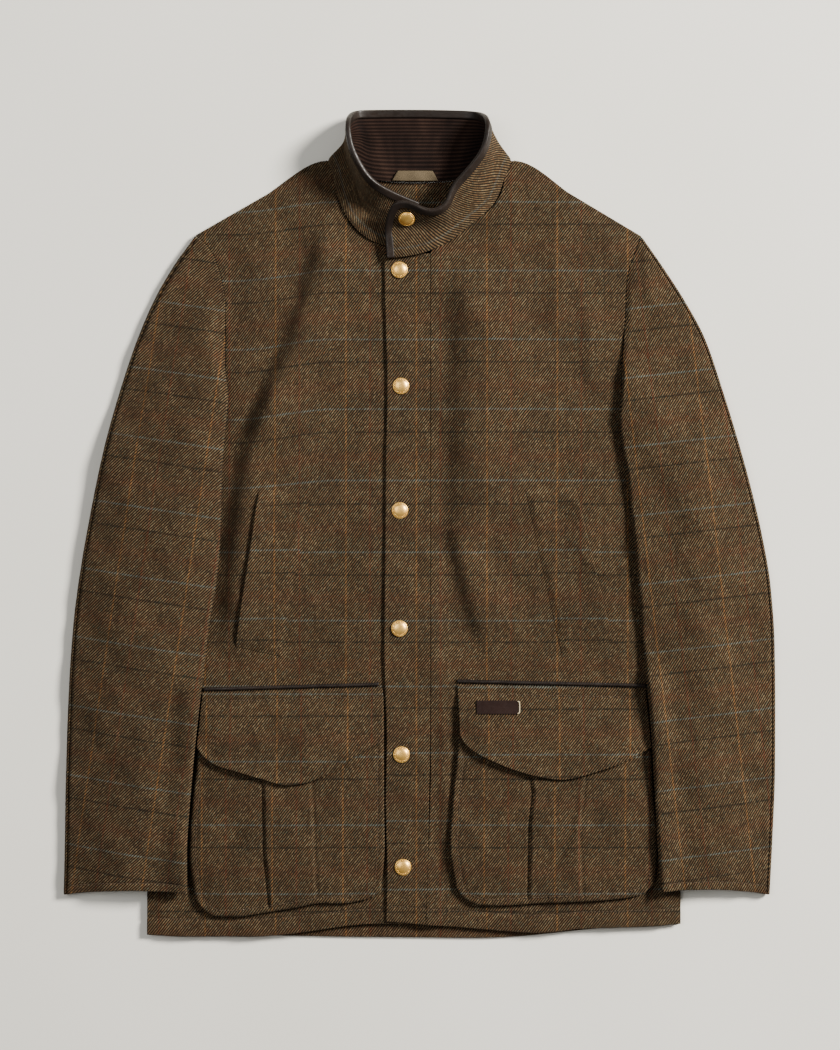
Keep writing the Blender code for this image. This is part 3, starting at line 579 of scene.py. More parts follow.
# Extra columns, as parts of a station before the collar's end
COLLAR_END_COLUMNS = (0.75, 0.5, 0.25)
COLLAR_ROWS = 96
COLLAR_SOFTENING = 24
COLLAR_SINK = 1.3
COLLAR_SINK_REACH = 2.2
COLLAR_THINNEST = 0.15
CORNER_RADIUS = 16.0
WALE_PITCH = 3.2
WALE_DEPTH = 0.55
BINDING_FINE = 1.8
BINDING_SOFTENING = 6
BINDING_CLEAR = 0.12
BINDING_SKIN = 0.8 * BINDING_WALL
BINDING_TUCK = 0.45
BINDING_CREST = 0.35
BINDING_ROOT = 0.15
# Distances down the collar from its edge, and turns in degrees over the edge
BINDING_LEGS = (0.0, 1.2, 3.2, 5.4, 6.6, 7.1)
BINDING_TURNS = (75.0, 45.0, 15.0, -15.0, -45.0, -75.0)
# The loop's half-width in collar steps and its rows up the collar, at its foot and at its top
LOOP_HALF = (6.6, 4.6)
LOOP_ROWS = (0.6, 13.0)
LOOP_POINTS = (41, 13)
LOOP_BOW = 1.6
LOOP_BELLY = 0.7
LOOP_CREASE = 0.35
LOOP_CREASE_WAVE = 7.0

# How the press studs are built. Each row: reach from the centre in radii, rise in heights
STUD_PROFILE = (
    (0.9, 0.0),
    (0.98, 0.05),
    (1.0, 0.15),
    (0.985, 0.26),
    (0.95, 0.33),
    (0.915, 0.33),
    (0.895, 0.31),
    (0.87, 0.37),
    (0.8, 0.52),
    (0.7, 0.68),
    (0.56, 0.82),
    (0.4, 0.92),
    (0.2, 0.985),
)
STUD_ROUND = 56
STUD_SEAT = 0.15
STUD_BEADS = 26
BEAD_REACH = 0.8
BEAD_RISE = 0.5
BEAD_RADIUS = 0.62
BEAD_SIDES = 8
BEAD_RINGS = 4

# The tables of each side, and which way X goes outwards
SIDES = {
    "right": {
        "outwards": -1.0,
        "front": RIGHT_FRONT_SECTIONS,
        "sleeve": RIGHT_SLEEVE_SECTIONS,
        "pocket": RIGHT_POCKET_SECTIONS,
        "pocket_foot": RIGHT_POCKET_FOOT,
        "flap_foot": RIGHT_FLAP_FOOT,
        "seam": FLAP_SEAMS["right"],
        "hem": RIGHT_FRONT_HEM,
    },
    "left": {
        "outwards": 1.0,
        "front": LEFT_FRONT_SECTIONS,
        "sleeve": LEFT_SLEEVE_SECTIONS,
        "pocket": LEFT_POCKET_SECTIONS,
        "pocket_foot": LEFT_POCKET_FOOT,
        "flap_foot": LEFT_FLAP_FOOT,
        "seam": FLAP_SEAMS["left"],
        "hem": LEFT_FRONT_HEM,
    },
}

# Weave and colours. The twill runs across and along the two directions, as parts of a step in u and v.
TWILL_ACROSS = (0.788, -0.616)
TWILL_ALONG = (0.616, 0.788)
TWILL_PITCH = 2.26
FLOAT_LENGTH = 3.1
FLOAT_OFFSET = 0.37
YARN_PITCH = 1.25
RIB_SHIFT = 0.25
# Added to a place to draw another lot of random numbers there
FLECK_SEED = (71.3, 19.7, 5.1)
WARP_SEED = 3.0
WEFT_SEED = 5.0
# Values between which most of an unevenness lies
NOISE_SPAN = (0.3, 0.7)
# Each row: waves in a millimetre, octaves and, where it is given, roughness of an unevenness in a cloth
TWEED_NOISES = {
    "slow": (0.035, 1.0),
    "quick": (0.6, 1.0),
    "fleck": (0.55, 1.0),
    "cloud": (0.022, 3.0),
    "fuzz": (0.8, 1.0),
}
CORDUROY_NOISES = {
    "pile": (1.6, 4.0, 0.7),
    # The corduroy's worn patches are wear and a painted sheen
    "worn": (0.045, 2.0),
}
RIBBON_NOISE = (1.2, 3.0)
# The same with waves in a metre, in materials that aren't cloth
LEATHER_NOISES = {
    "grain": (900.0, 4.0, 0.6),
    "creases": (260.0, 3.0, 0.55),
    "worn": (45.0, 3.0),
}
BRASS_NOISES = {
    "tarnish": (160.0, 3.0),
    "fine": (1500.0, 3.0, 0.6),
}
THREAD_NOISE = (2200.0, 2.0)
PAPER_NOISE = (4.0, 2.0)
ROUGHNESS = {"tweed": 0.95, "corduroy": 0.9, "ribbon": 0.8, "brass": 0.3, "thread": 0.8, "floor": 0.9}
# Depth of each material's relief in millimetres
BUMPS = {"tweed": 0.4, "corduroy": 0.25, "leather": 0.12, "ribbon": 0.15, "brass": 0.03, "thread": 0.1}
# Each row: gloss, sheen, the sheen's roughness and its sRGB tint
SURFACES = {
    "tweed": (0.15, 0.06, 0.5, (225, 200, 165)),
    "corduroy": (0.1, 0.2, 0.35, (150, 100, 75)),
    "floor": (0.1,),
}
WOBBLE_SLOW = 0.5
WOBBLE_QUICK = 0.06
STRIPE_WOBBLE = 1.2
# Heights of the yarn between which the painted shade in the gaps between the yarns turns to the yarn's colour
GAP_SHADE_HEIGHTS = (0.3, 0.75)
FLOAT_END = 0.16
FLOAT_END_HEIGHT = 0.72
FLECK_SHOWS = (0.46, 0.6)
STREAK = 0.12
STREAK_BASE = 0.78
CLOUD_SHADES = (0.88, 1.12)
FUZZ_HEIGHT = 0.3
# How much of a stripe shows in the painted shade between the yarns, and on yarns from one random value to
# another
STRIPE_IN_GAP_SHADE = 0.12
STRIPE_ON_YARNS = (0.1, 0.7, 0.4, 1.0)
# Stretch of the corduroy's unevenness along its axes, and each one's share in its tone. The wales' share is
# painted shade, darker in the grooves between them, and the worn patches are wear with a painted sheen
PILE_STRETCH = (1.0, 3.0, 1.0)
WORN_AND_SHEEN_STRETCH = (1.0, 0.5, 1.0)
PILE_SHARE = 0.45
WALE_SHADE_SHARE = 0.42
WORN_AND_SHEEN_MIDDLE = 0.45
WORN_AND_SHEEN_SHARE = 0.9
LEATHER_GRAIN = 0.35
LEATHER_WORN = 0.65
CREASE_SMOOTHER = 0.1
CREASE_ROUGHER = 0.12
RIBBON_PITCHES = (0.9, 0.6)
BRASS_METALLIC = 0.9
BRASS_ROUGH = (0.3, 0.46)
THREAD_SHADE = 0.55
# Painted shade in the gaps between the yarn floats, as sRGB: of the cloth, then of the collar's tweed
TWEED_GAP_SHADE = (6, 4, 2)
COLLAR_GAP_SHADE = (25, 18, 11)
# Each row: share of the yarns, linear colour
TWEED_YARNS = (
    (0.0, (0.058, 0.034, 0.015, 1.0)),
    (0.35, (0.08, 0.049, 0.022, 1.0)),
    (0.75, (0.108, 0.069, 0.032, 1.0)),
    (1.0, (0.158, 0.108, 0.055, 1.0)),
)
TWEED_FLECKS = (
    (0.0, (0.04, 0.026, 0.014, 1.0)),
    (0.3, (0.085, 0.052, 0.026, 1.0)),
    (0.55, (0.108, 0.05, 0.021, 1.0)),
    (0.75, (0.072, 0.066, 0.04, 1.0)),
    (1.0, (0.145, 0.1, 0.052, 1.0)),
)
# Each row: axis, period, centre, half-width, softness, sRGB colour, strength
STRIPES = (
    ("v", 72.6, 23.8, 5.0, 4.5, (88, 42, 24), 0.24),
    ("v", 72.6, 48.8, 1.0, 0.6, (16, 16, 9), 0.75),
    ("v", 72.6, 0.0, 0.9, 0.6, (88, 96, 90), 0.68),
    ("u", 74.4, 25.4, 0.9, 0.6, (92, 38, 20), 0.45),
    ("u", 74.4, 49.8, 0.9, 0.6, (24, 18, 10), 0.22),
    ("u", 74.4, 0.0, 0.8, 0.4, (152, 104, 56), 0.42),
)
COLLAR_STRIPES = (
    ("v", 400.0, 9.0, 1.0, 0.6, (84, 88, 82), 0.62),
    ("v", 400.0, 34.0, 1.0, 0.6, (22, 22, 12), 0.35),
    ("u", 74.4, 20.0, 0.8, 0.4, (120, 80, 40), 0.15),
)
CORDUROY_TONES = (
    (0.2, (0.003, 0.0014, 0.001, 1.0)),
    (0.55, (0.0115, 0.0056, 0.004, 1.0)),
    (0.9, (0.036, 0.019, 0.013, 1.0)),
)
LEATHER_TONES = (
    (0.3, (0.006, 0.004, 0.003, 1.0)),
    (0.7, (0.018, 0.012, 0.009, 1.0)),
)
LABEL_TONES = (
    (0.3, (0.009, 0.0045, 0.004, 1.0)),
    (0.7, (0.02, 0.0105, 0.0085, 1.0)),
)
# Each row: tones, roughness and gloss
LEATHERS = {
    "leather_trim": (LEATHER_TONES, 0.42, 0.2),
    "leather_label": (LABEL_TONES, 0.8, 0.08),
}
RIBBON_TONES = (
    (0.2, (0.048, 0.033, 0.014, 1.0)),
    (0.8, (0.105, 0.073, 0.033, 1.0)),
)
BRASS_TONES = (
    (0.3, (0.84, 0.47, 0.1, 1.0)),
    (0.7, (0.96, 0.6, 0.17, 1.0)),
)

LABEL_THREAD_COLOUR = (214, 196, 160)
STITCH_COLOUR = (70, 52, 32)

# Floor, lights and camera, in metres
FLOOR_REACH = 4.0
FLOOR_HEIGHT = -0.0006
FLOOR_LOW = (226, 223, 213)
FLOOR_HIGH = (230, 227, 218)
WORLD_COLOUR = (1.0, 0.99, 0.955)
WORLD_STRENGTH = 0.24
# Each row: name, place, size, power, colour
LIGHTS = (
    ("key", (3.3, 1.8, 2.5), 1.2, 640.0, (1.0, 0.97, 0.915)),
    ("fill", (-1.7, 0.8, 3.2), 2.2, 55.0, (0.97, 0.98, 1.0)),
)
SENSOR = 36.0
CAMERA_X = 0.0005
CAMERA_Y = -0.00106
CAMERA_HEIGHT = 2.5
FRAME_LENGTH = 1.113


# Curves and grids
def smooth(value):
    """A rise from 0 to 1 with level ends."""
    value = np.clip(value, 0.0, 1.0)
    return value * value * (3.0 - 2.0 * value)


def way_along(line):
    """How far along a line each of its points is."""
    steps = np.linalg.norm(np.diff(line, axis=0), axis=1)
    return np.concatenate([[0.0], np.cumsum(steps)])


def read_line(places, way, line):
    """A line read at places along it."""
    return np.column_stack([np.interp(places, way, values) for values in np.asarray(line).T])


def soften(line, times):
    """Evens out the points of a line or of a grid's columns, with its ends held."""
    for _ in range(times):
        line[1:-1] = 0.25 * line[:-2] + 0.5 * line[1:-1] + 0.25 * line[2:]


def flow(rows, places):
    """Rows of numbers read at places from 0 to 1 along them, on curves that never swing past a row."""
    rows = np.asarray(rows, float)
    way = way_along(rows)
    return flow_at(way / way[-1], rows, places)


def flow_at(knots, rows, places):
    """The same for rows that stand at given knots."""
    gaps = np.diff(knots)[:, None]
    slopes = np.diff(rows, axis=0) / gaps
    tangents = np.zeros_like(rows)
    tangents[0] = slopes[0]
    tangents[-1] = slopes[-1]
    same_way = slopes[:-1] * slopes[1:] > 0
    before = 2.0 * gaps[1:] + gaps[:-1]
    after = gaps[1:] + 2.0 * gaps[:-1]
    with np.errstate(divide="ignore", invalid="ignore"):
        blended = (before + after) / (before / slopes[:-1] + after / slopes[1:])
    tangents[1:-1] = np.where(same_way, blended, 0.0)
    places = np.asarray(places, float)
    index = np.clip(np.searchsorted(knots, places, side="right") - 1, 0, len(knots) - 2)
    width = gaps[index]
    t = (places[:, None] - knots[index][:, None]) / width
    start = (1.0 + 2.0 * t) * (1.0 - t) ** 2
    end = t * t * (3.0 - 2.0 * t)
    lead = t * (1.0 - t) ** 2 * width
    trail = t * t * (t - 1.0) * width
    steady = start * rows[index] + end * rows[index + 1]
    return steady + lead * tangents[index] + trail * tangents[index + 1]


def distance_to_line(points, start, end):
    start = np.asarray(start, float)
    along = np.asarray(end, float) - start
    place = np.clip((points - start) @ along / (along @ along), 0.0, 1.0)
    return np.linalg.norm(points - start - place[..., None] * along, axis=-1)


def distance_to_path(points, path):
    return np.min([distance_to_line(points, *ends) for ends in zip(path[:-1], path[1:])], axis=0)


def inside(points, path):
    """Whether points lie in a closed path."""
    found = np.zeros(points.shape[:-1], bool)
    for (ax, ay), (bx, by) in zip(path, path[1:] + path[:1]):
        if ay == by:
            continue
        crosses = (points[..., 1] > ay) != (points[..., 1] > by)
        reach = ax + (points[..., 1] - ay) * (bx - ax) / (by - ay)
        found ^= crosses & (points[..., 0] < reach)
    return found


def path_field(points, path):
    """Distance from points to a path, the same with its sign (positive on the path's left),
    and how far along the path the nearest place is, from 0 to 1."""
    path = np.asarray(path, float)
    steps = np.diff(path, axis=0)
    way = way_along(path)
    nearest = np.full(points.shape[:-1], np.inf)
    signed = np.zeros(points.shape[:-1])
    along = np.zeros(points.shape[:-1])
    for start, step, length, passed in zip(path, steps, np.diff(way), way):
        offset = points - start
        place = np.clip(offset @ step / length**2, 0.0, 1.0)
        away = np.linalg.norm(offset - place[..., None] * step, axis=-1)
        side = (step[0] * offset[..., 1] - step[1] * offset[..., 0]) / length
        closer = away < nearest
        nearest = np.where(closer, away, nearest)
        signed = np.where(closer, side, signed)
        along = np.where(closer, passed + place * length, along)
    return nearest, signed, along / way[-1]


def edge_places(length, step, stitch=None):
    """Places from 0 to length, closer together at both ends and along a stitch line.
    The stitch line's distance is from the far end."""
    count = max(2, int(round(length / step)))
    places = np.linspace(0.0, length, count + 1)
    near = np.array([place for place in EDGE_PLACES if place < length / 3.0])
    closest = EDGE_PLACES[-1] + EDGE_CLEAR
    places = places[(places > closest) & (places < length - closest)]
    if stitch:
        line = length - stitch + FURROW_HALF * FURROW_PLACES
        places = places[np.abs(places - length + stitch) > FURROW_CLEAR * FURROW_HALF]
        places = np.sort(np.concatenate([places, line]))
    return np.concatenate([near, places, length - near[::-1]])


def section_knots(rows):
    """How far down a piece its sections stand, midway between its two sides."""
    moves = np.diff(rows, axis=0)
    outer = np.hypot(moves[:, 0], moves[:, 1])
    inner = np.hypot(moves[:, 2], moves[:, 3])
    return np.concatenate([[0.0], np.cumsum(0.5 * (outer + inner))])


def spread(lines, across):
    """A plan grid [row, column, xy] with points at places from 0 to 1 across each line."""
    start, end = lines[:, None, :2], lines[:, None, 2:]
    return start + (end - start) * across[None, :, None]


def bend_foot(grid, foot, across, down, fade):
    """Bends a grid's last row onto a foot line, and fades the bend out upwards."""
    foot = np.asarray(foot, float)
    start = grid[-1, 0].copy()
    chord = grid[-1, -1] - start
    places = (foot - start) @ chord / (chord @ chord)
    bend = flow_at(places, foot, across) - grid[-1]
    for row, place in enumerate(down):
        grid[row] += bend * smooth(1.0 - (down[-1] - place) / fade)


def grid_sides(across, down):
    """Distances of a grid's points from its four sides: first and last column, first and last row."""
    shape = (len(down), len(across))
    reaches = (across, across[-1] - across, down[:, None], down[-1] - down[:, None])
    return tuple(np.broadcast_to(reach, shape) for reach in reaches)


def sections_grid(sections, step, foot=None, fade=HEM_FADE, stitch=None):
    """A fine plan grid through a table of sections, with its last row bent onto a foot line,
    and the distances of its points from its four sides."""
    rows = np.array(list(sections.values()))
    knots = section_knots(rows)
    down = edge_places(knots[-1], step, stitch)
    lines = flow_at(knots, rows, down)
    width = np.hypot(lines[:, 2] - lines[:, 0], lines[:, 3] - lines[:, 1]).mean()
    across = edge_places(width, step)
    grid = spread(lines, across / width)
    if foot is not None:
        bend_foot(grid, foot, across / width, down, fade)
    return grid, grid_sides(across, down)


# The cloth's surface
def folds(points, table):
    """How high the folds of a table lift the cloth."""
    height = np.zeros(points.shape[:-1])
    for half_width, rise, reach, path in table:
        nearest, signed, along = path_field(points, path)
        taper = smooth(along / FOLD_ENDS) * smooth((1.0 - along) / FOLD_ENDS)
        shape = np.tanh(FOLD_SHARPNESS * signed / half_width) + FOLD_STAND
        height += rise * shape * np.exp(-((nearest / reach) ** 2)) * taper
    return height


def ripples(points):
    height = np.zeros(points.shape[:-1])
    for rise, width, length, phase in RIPPLES:
        height += rise * np.sin(2.0 * math.pi * (points[..., 0] / width + points[..., 1] / length) + phase)
    return height


def furrow(distance):
    """The dip that a row of stitches pulls into the cloth."""
    return -FURROW * np.exp(-((distance / FURROW_HALF) ** 2))


def puckers(points, near):
    """Small waves along a stitched edge, as strong as near says."""
    phase = 2.0 * math.pi * (points[..., 0] + PUCKER_SLANT * points[..., 1]) / PUCKER_PITCH
    strength, pitch, start = PUCKER_SECOND
    return PUCKER * near * (np.sin(phase) + strength * np.sin(pitch * phase + start))


def rolled(distance, radius):
    """How far a rounded edge lies below the surface at a distance from it."""
    inside_roll = np.clip(radius - distance, 0.0, radius)
    return radius - np.sqrt(radius**2 - inside_roll**2)


def body_cloth(points):
    """Cloth coordinates of a body piece: its place in the check."""
    x, y = points[..., 0], points[..., 1]
    drift = CHECK_DRIFT * np.exp(-(((y - CHECK_DRIFT_AT) / CHECK_DRIFT_SPAN) ** 2))
    sag_across = smooth((CHECK_SAG_FROM[0] - x) / CHECK_SAG_REACH[0])
    sag = CHECK_SAG * sag_across * smooth((y - CHECK_SAG_FROM[1]) / CHECK_SAG_REACH[1])
    return np.stack([x - CHECK_ORIGIN[0], y - CHECK_ORIGIN[1] + drift + sag], axis=-1)


def turned_cloth(points, angle, pivot, place):
    """Cloth coordinates of a piece whose threads are turned by an angle, with pivot at a place in the check."""
    turn = math.radians(angle)
    offset = points - np.asarray(pivot)
    u = offset[..., 0] * math.cos(turn) - offset[..., 1] * math.sin(turn) + place[0]
    v = offset[..., 0] * math.sin(turn) + offset[..., 1] * math.cos(turn) + place[1]
    return np.stack([u, v], axis=-1)


def relief(points):
    """Folds and ripples of the fronts, which fade out under the collar and don't stand up under the sleeves."""
    collar = [row[:2] for row in COLLAR_STATIONS.values()]
    free = smooth((distance_to_path(points, collar) - COLLAR_NEAR) / COLLAR_FREE)
    height = (folds(points, FRONT_FOLDS) + ripples(points)) * free
    for side in SIDES.values():
        outline = sleeve_outline(side["sleeve"])
        away = np.where(inside(points, outline), 0.0, distance_to_path(points, outline))
        height = np.where(height > 0.0, height * smooth(away / SLEEVE_FREE), height)
    return np.maximum(height, LOWEST_DIP)


def sleeve_outline(sections):
    rows = list(sections.values())
    return [row[:2] for row in rows] + [row[2:] for row in rows[::-1]]


def rows_from(sections, first):
    return list(sections.values())[list(sections).index(first):]


def side_path(sections):
    return [row[:2] for row in rows_from(sections, "underarm")]


def front_height(points, sections):
    """The top of a front, which drops at its shoulder and side seams."""
    shoulder = sections["shoulder"]
    near = distance_to_line(points, shoulder[:2], shoulder[2:])
    near = np.minimum(near, distance_to_path(points, side_path(sections)))
    free = smooth(near / SEAM_ROLL)
    height = FRONT_TOP - SEAM_DROP * (1.0 - free) + relief(points) * free
    if sections is LEFT_FRONT_SECTIONS:
        seam = [row[2:] for row in rows_from(sections, "armhole_foot")]
        height = height + PLACKET_RISE * (1.0 - smooth(distance_to_path(points, seam) / PLACKET_FALL))
    return height


# Meshes
def mesh_piece(name, points, faces, material, cloth=None):
    mesh = bpy.data.meshes.new(name)
    mesh.from_pydata((np.asarray(points) * MILLIMETRE).tolist(), [], faces)
    if cloth is not None:
        attribute = mesh.attributes.new("cloth", "FLOAT_VECTOR", "POINT")
        flat = np.zeros((len(points), 3))
        flat[:, : cloth.shape[1]] = cloth * MILLIMETRE
        attribute.data.foreach_set("vector", flat.ravel())
    mesh.shade_smooth()
    mesh.materials.append(material)
    piece = bpy.data.objects.new(name, mesh)
    bpy.context.scene.collection.objects.link(piece)
    return piece


def corner_index(rows, columns):
    return np.arange(rows * columns).reshape(rows, columns)


def sheet_faces(rows, columns):
    """Faces of a closed wall made of two equal grids, the second below the first."""
    index = corner_index(rows, columns)
    top = np.stack([index[:-1, :-1], index[:-1, 1:], index[1:, 1:], index[1:, :-1]], axis=-1).reshape(-1, 4)
    bottom = top[:, ::-1] + rows * columns
    rim = np.concatenate([index[0, :-1], index[:-1, -1], index[-1, :0:-1], index[:0:-1, 0]])
    after = np.roll(rim, -1)
    sides = np.stack([after, rim, rim + rows * columns, after + rows * columns], axis=-1)
    return np.concatenate([top, bottom, sides])


def ring_faces(rings, sides):
    """Faces round a skin made of closed rings of points."""
    index = corner_index(rings, sides)
    after = np.roll(index, -1, axis=1)
    return np.stack([index[:-1], after[:-1], after[1:], index[1:]], axis=-1).reshape(-1, 4)


def facing_out(points, faces):
    """The faces turned so that the closed surface has its outside out."""
    a, b, c, d = (points[faces[:, corner]] for corner in range(4))
    volume = np.einsum("ij,ij->i", a, np.cross(b, c)).sum() + np.einsum("ij,ij->i", a, np.cross(c, d)).sum()
    return faces if volume > 0 else faces[:, ::-1]


def wall_piece(name, faces, outer, inner, material, cloth):
    """A closed wall between two equal grids of points."""
    points = np.concatenate([outer.reshape(-1, 3), inner.reshape(-1, 3)])
    flat = cloth.reshape(-1, cloth.shape[-1])
    faces = facing_out(points, faces).tolist()
    return mesh_piece(name, points, faces, material, np.concatenate([flat, flat]))


def sheet_piece(name, top, bottom, material, cloth):
    return wall_piece(name, sheet_faces(*top.shape[:2]), top, bottom, material, cloth)


def tube_piece(name, outer, inner, material, cloth):
    rings, sides = outer.shape[:2]
    within = rings * sides
    skin = ring_faces(rings, sides)
    index = corner_index(rings, sides)
    after = np.roll(index, -1, axis=1)
    ends = [
        np.stack([after[0], index[0], index[0] + within, after[0] + within], axis=-1),
        np.stack([index[-1], after[-1], after[-1] + within, index[-1] + within], axis=-1),
    ]
    faces = np.concatenate([skin, skin[:, ::-1] + within] + ends)
    return wall_piece(name, faces, outer, inner, material, cloth)


def fix_normals(piece):
    body = bmesh.new()
    body.from_mesh(piece.data)
    bmesh.ops.recalc_face_normals(body, faces=body.faces[:])
    body.to_mesh(piece.data)
    body.free()
    piece.data.shade_smooth()


def grid_tree(grid):
    """A search tree over a grid's surface."""
    index = corner_index(*grid.shape[:2])
    quads = np.stack([index[:-1, :-1], index[1:, :-1], index[1:, 1:], index[:-1, 1:]], axis=-1)
    points = [tuple(point) for point in grid.reshape(-1, 3)]
    return BVHTree.FromPolygons(points, quads.reshape(-1, 4).tolist())


def walled(grid, height, wall, sides, rolls):
    """Top and bottom of a flat wall whose edges are rounded by the radius given for each side."""
    drop = np.zeros(grid.shape[:2])
    for distance, radius in zip(sides, rolls):
        drop = np.maximum(drop, rolled(distance, radius))
    top = np.dstack([grid, height - drop])
    bottom = np.dstack([grid, height - wall + np.minimum(drop, UNDER_ROLL * np.min(wall))])
    return top, bottom


def settle(piece, nodes=()):
    """Says which body carries the piece and which nodes it stands for."""
    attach(piece, BODY)
    if nodes:
        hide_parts(*nodes)


def settle_cloth(piece, node, kind):
    """Says the same of a piece of cloth. It reads the size that the cloth was cut to, but does nothing with it.
    """
    settle(piece, [node])
    width, length = (size * MILLIMETRE for size in own_row(CUT_SIZES, kind))


def own_row(table, kind):
    """The row of a piece in a table: that of its side where there is one, or else that of both sides."""
    return table.get(kind, table.get(kind.split("_")[0]))


def laid_piece(name, node, kind, grid, height, wall, distances, tweed):
    """A flat piece of tweed with its top at a height. It gives that top surface."""
    top, bottom = walled(grid, height, wall, distances, own_row(EDGE_RADII, kind))
    cloth = body_cloth(grid) + np.array(own_row(CHECK_SHIFTS, kind))
    piece = sheet_piece(name, top, bottom, tweed, cloth)
    settle_cloth(piece, node, kind)
    return top


# Stitches
def thread_tube(line, radius):
    """Points and faces of a closed thread that runs along a line."""
    along = np.gradient(line, axis=0)
    along /= np.linalg.norm(along, axis=1, keepdims=True)
    side = np.cross(along, (0.0, 0.0, 1.0))
    side /= np.linalg.norm(side, axis=1, keepdims=True)
    up = np.cross(side, along)
    turns = (2.0 * math.pi * np.arange(THREAD_SIDES) / THREAD_SIDES)[:, None]
    spokes = np.cos(turns) * side[:, None] + np.sin(turns) * up[:, None]
    rings = line[:, None] + radius * spokes
    faces = ring_faces(len(line), THREAD_SIDES).tolist()
    last = (len(line) - 1) * THREAD_SIDES
    faces.append(list(range(THREAD_SIDES))[::-1])
    faces.append(list(range(last, last + THREAD_SIDES)))
    return rings.reshape(-1, 3), faces


def thread_piece(name, points, faces, thread):
    piece = mesh_piece(name, points, faces, thread)
    fix_normals(piece)
    settle(piece)


def stitch_row(name, line, thread):
    """A row of stitches that lies in the dip along a line on a cloth."""
    way = way_along(line)
    points = []
    faces = []
    for start in np.arange(STITCH_STEP, way[-1] - STITCH_STEP, STITCH_STEP):
        stitch = read_line(start + STITCH_LENGTH * STITCH_PARTS, way, line)
        stitch[:, 2] += STITCH_RADIUS * STITCH_ARCH
        rings, walls = thread_tube(stitch, STITCH_RADIUS)
        before = len(points) * len(rings)
        points.append(rings)
        faces += [[corner + before for corner in wall] for wall in walls]
    thread_piece(name, np.concatenate(points), faces, thread)


def row_at(distances, distance, top):
    """The line over a grid's surface at a distance from one of its sides."""
    columns = range(top.shape[1])
    return np.array([read_line([distance], distances[:, column], top[:, column])[0] for column in columns])


def rim_line(outline, distance, top):
    """The line over a pocket's surface at a distance inside its outline, below its flap."""
    closed = np.array(outline + outline[:1], float)
    way = way_along(closed)
    ring = read_line(np.arange(0.0, way[-1], RIM_STITCH_STEP), way, closed)
    along = np.roll(ring, -1, axis=0) - np.roll(ring, 1, axis=0)
    along /= np.linalg.norm(along, axis=1, keepdims=True)
    turned = np.sum(closed[:-1, 0] * closed[1:, 1] - closed[1:, 0] * closed[:-1, 1])
    across = np.column_stack([-along[:, 1], along[:, 0]]) * np.sign(turned)
    moved = ring + across * distance
    clear = distance_to_path(moved, outline + outline[:1]) > RIM_STITCH_CLEAR * distance
    kept = clear & (moved[:, 1] < RIM_STITCH_TOP)
    tree = grid_tree(top)
    found = [tree.ray_cast((*point, STITCH_SEARCH), (0.0, 0.0, -1.0))[0] for point in moved[kept]]
    return np.array([tuple(place) for place in found if place])


# Back, fronts and placket
def make_back(tweed):
    right = np.array([row[:2] for row in RIGHT_FRONT_SECTIONS.values()])
    left = np.array([row[:2] for row in LEFT_FRONT_SECTIONS.values()])
    sides = np.hstack([right, left])
    knots = section_knots(sides)
    down = edge_places(knots[-1], GRID_STEPS["back"])
    lines = flow_at(knots, sides, down)
    crown = np.array(BACK_SHOULDERS)
    reach = crown[:, 0] - crown[0, 0]
    across = edge_places(reach[-1], GRID_STEPS["back"])
    share = across / reach[-1]
    top_edge = flow_at(reach / reach[-1], crown, share)
    grid = spread(lines, share)
    part = np.interp(down, knots, np.arange(len(knots))) / (len(knots) - 1.0)
    grid = grid + (top_edge - grid[0])[None] * ((1.0 - part) ** 2)[:, None, None]
    bend_foot(grid, BACK_HEM, share, down, HEM_FADE)
    height = np.full(grid.shape[:2], BACK_TOP)
    laid_piece("back_cloth", "back_panel", "back", grid, height, WALL, grid_sides(across, down), tweed)


def make_front(side, tweed, thread):
    parts = SIDES[side]
    sections = parts["front"]
    name = f"front_{side}"
    grid, distances = sections_grid(sections, GRID_STEPS["front"], parts["hem"], stitch=HEM_STITCH)
    hem = distances[3]
    height = front_height(grid, sections) + furrow(hem - HEM_STITCH)
    height = height + HEM_PUFF * np.sin(math.pi * np.clip(hem / HEM_STITCH, 0.0, 1.0))
    height = height + puckers(grid, smooth(1.0 - hem / HEM_STITCH))
    top = laid_piece(f"{name}_cloth", name, name, grid, height, FRONT_CLOTH, distances, tweed)
    stitch_row(f"hem_{side}_stitches", row_at(-hem, -HEM_STITCH, top), thread)


def placket_height(points):
    return FRONT_TOP + PLACKET_RISE + relief(points)


def make_placket(tweed, thread):
    grid, distances = sections_grid(PLACKET_SECTIONS, GRID_STEPS["placket"], stitch=HEM_STITCH)
    lapped, sewn, _, hem = distances
    grid[:, :, 0] += PLACKET_REACH * smooth(1.0 - sewn / PLACKET_REACH_FADE)
    lip = PLACKET_LIP * smooth(1.0 - lapped / PLACKET_LIP_WIDTH)
    height = placket_height(grid) + furrow(hem - HEM_STITCH) + lip
    top = laid_piece(
        "placket_cloth", "front_placket", "placket", grid, height, PLACKET_WALL, distances, tweed
    )
    stitch_row("placket_stitches", row_at(-hem, -HEM_STITCH, top), thread)


# Pockets and flaps
def pocket_outline(sections, foot):
    outer = [row[:2] for row in sections.values()]
    inner = [row[2:] for row in sections.values()]
    return outer + [tuple(point) for point in foot[1:-1]] + inner[::-1]


def bulge(points, outline):
    """How full a pocket is, from 0 at its edges to 1 inside."""
    near = distance_to_path(points, outline)
    down = smooth((POCKET_MOUTH - points[..., 1]) / (POCKET_MOUTH - POCKET_FULL))
    return smooth(near / POCKET_ROLL) * down


def pocket_lift(points):
    """How far a bellows pocket stands off the front, most at its foot."""
    return POCKET_LIFT * smooth((POCKET_MOUTH + POCKET_LIFT_FROM - points[..., 1]) / POCKET_LIFT_FALL)


def below_mouth(points, change):
    """A rise from 0 to 1 below the pocket's mouth."""
    distance, fade = MOUTH_FADES[change]
    return smooth((POCKET_MOUTH - distance - points[..., 1]) / fade)


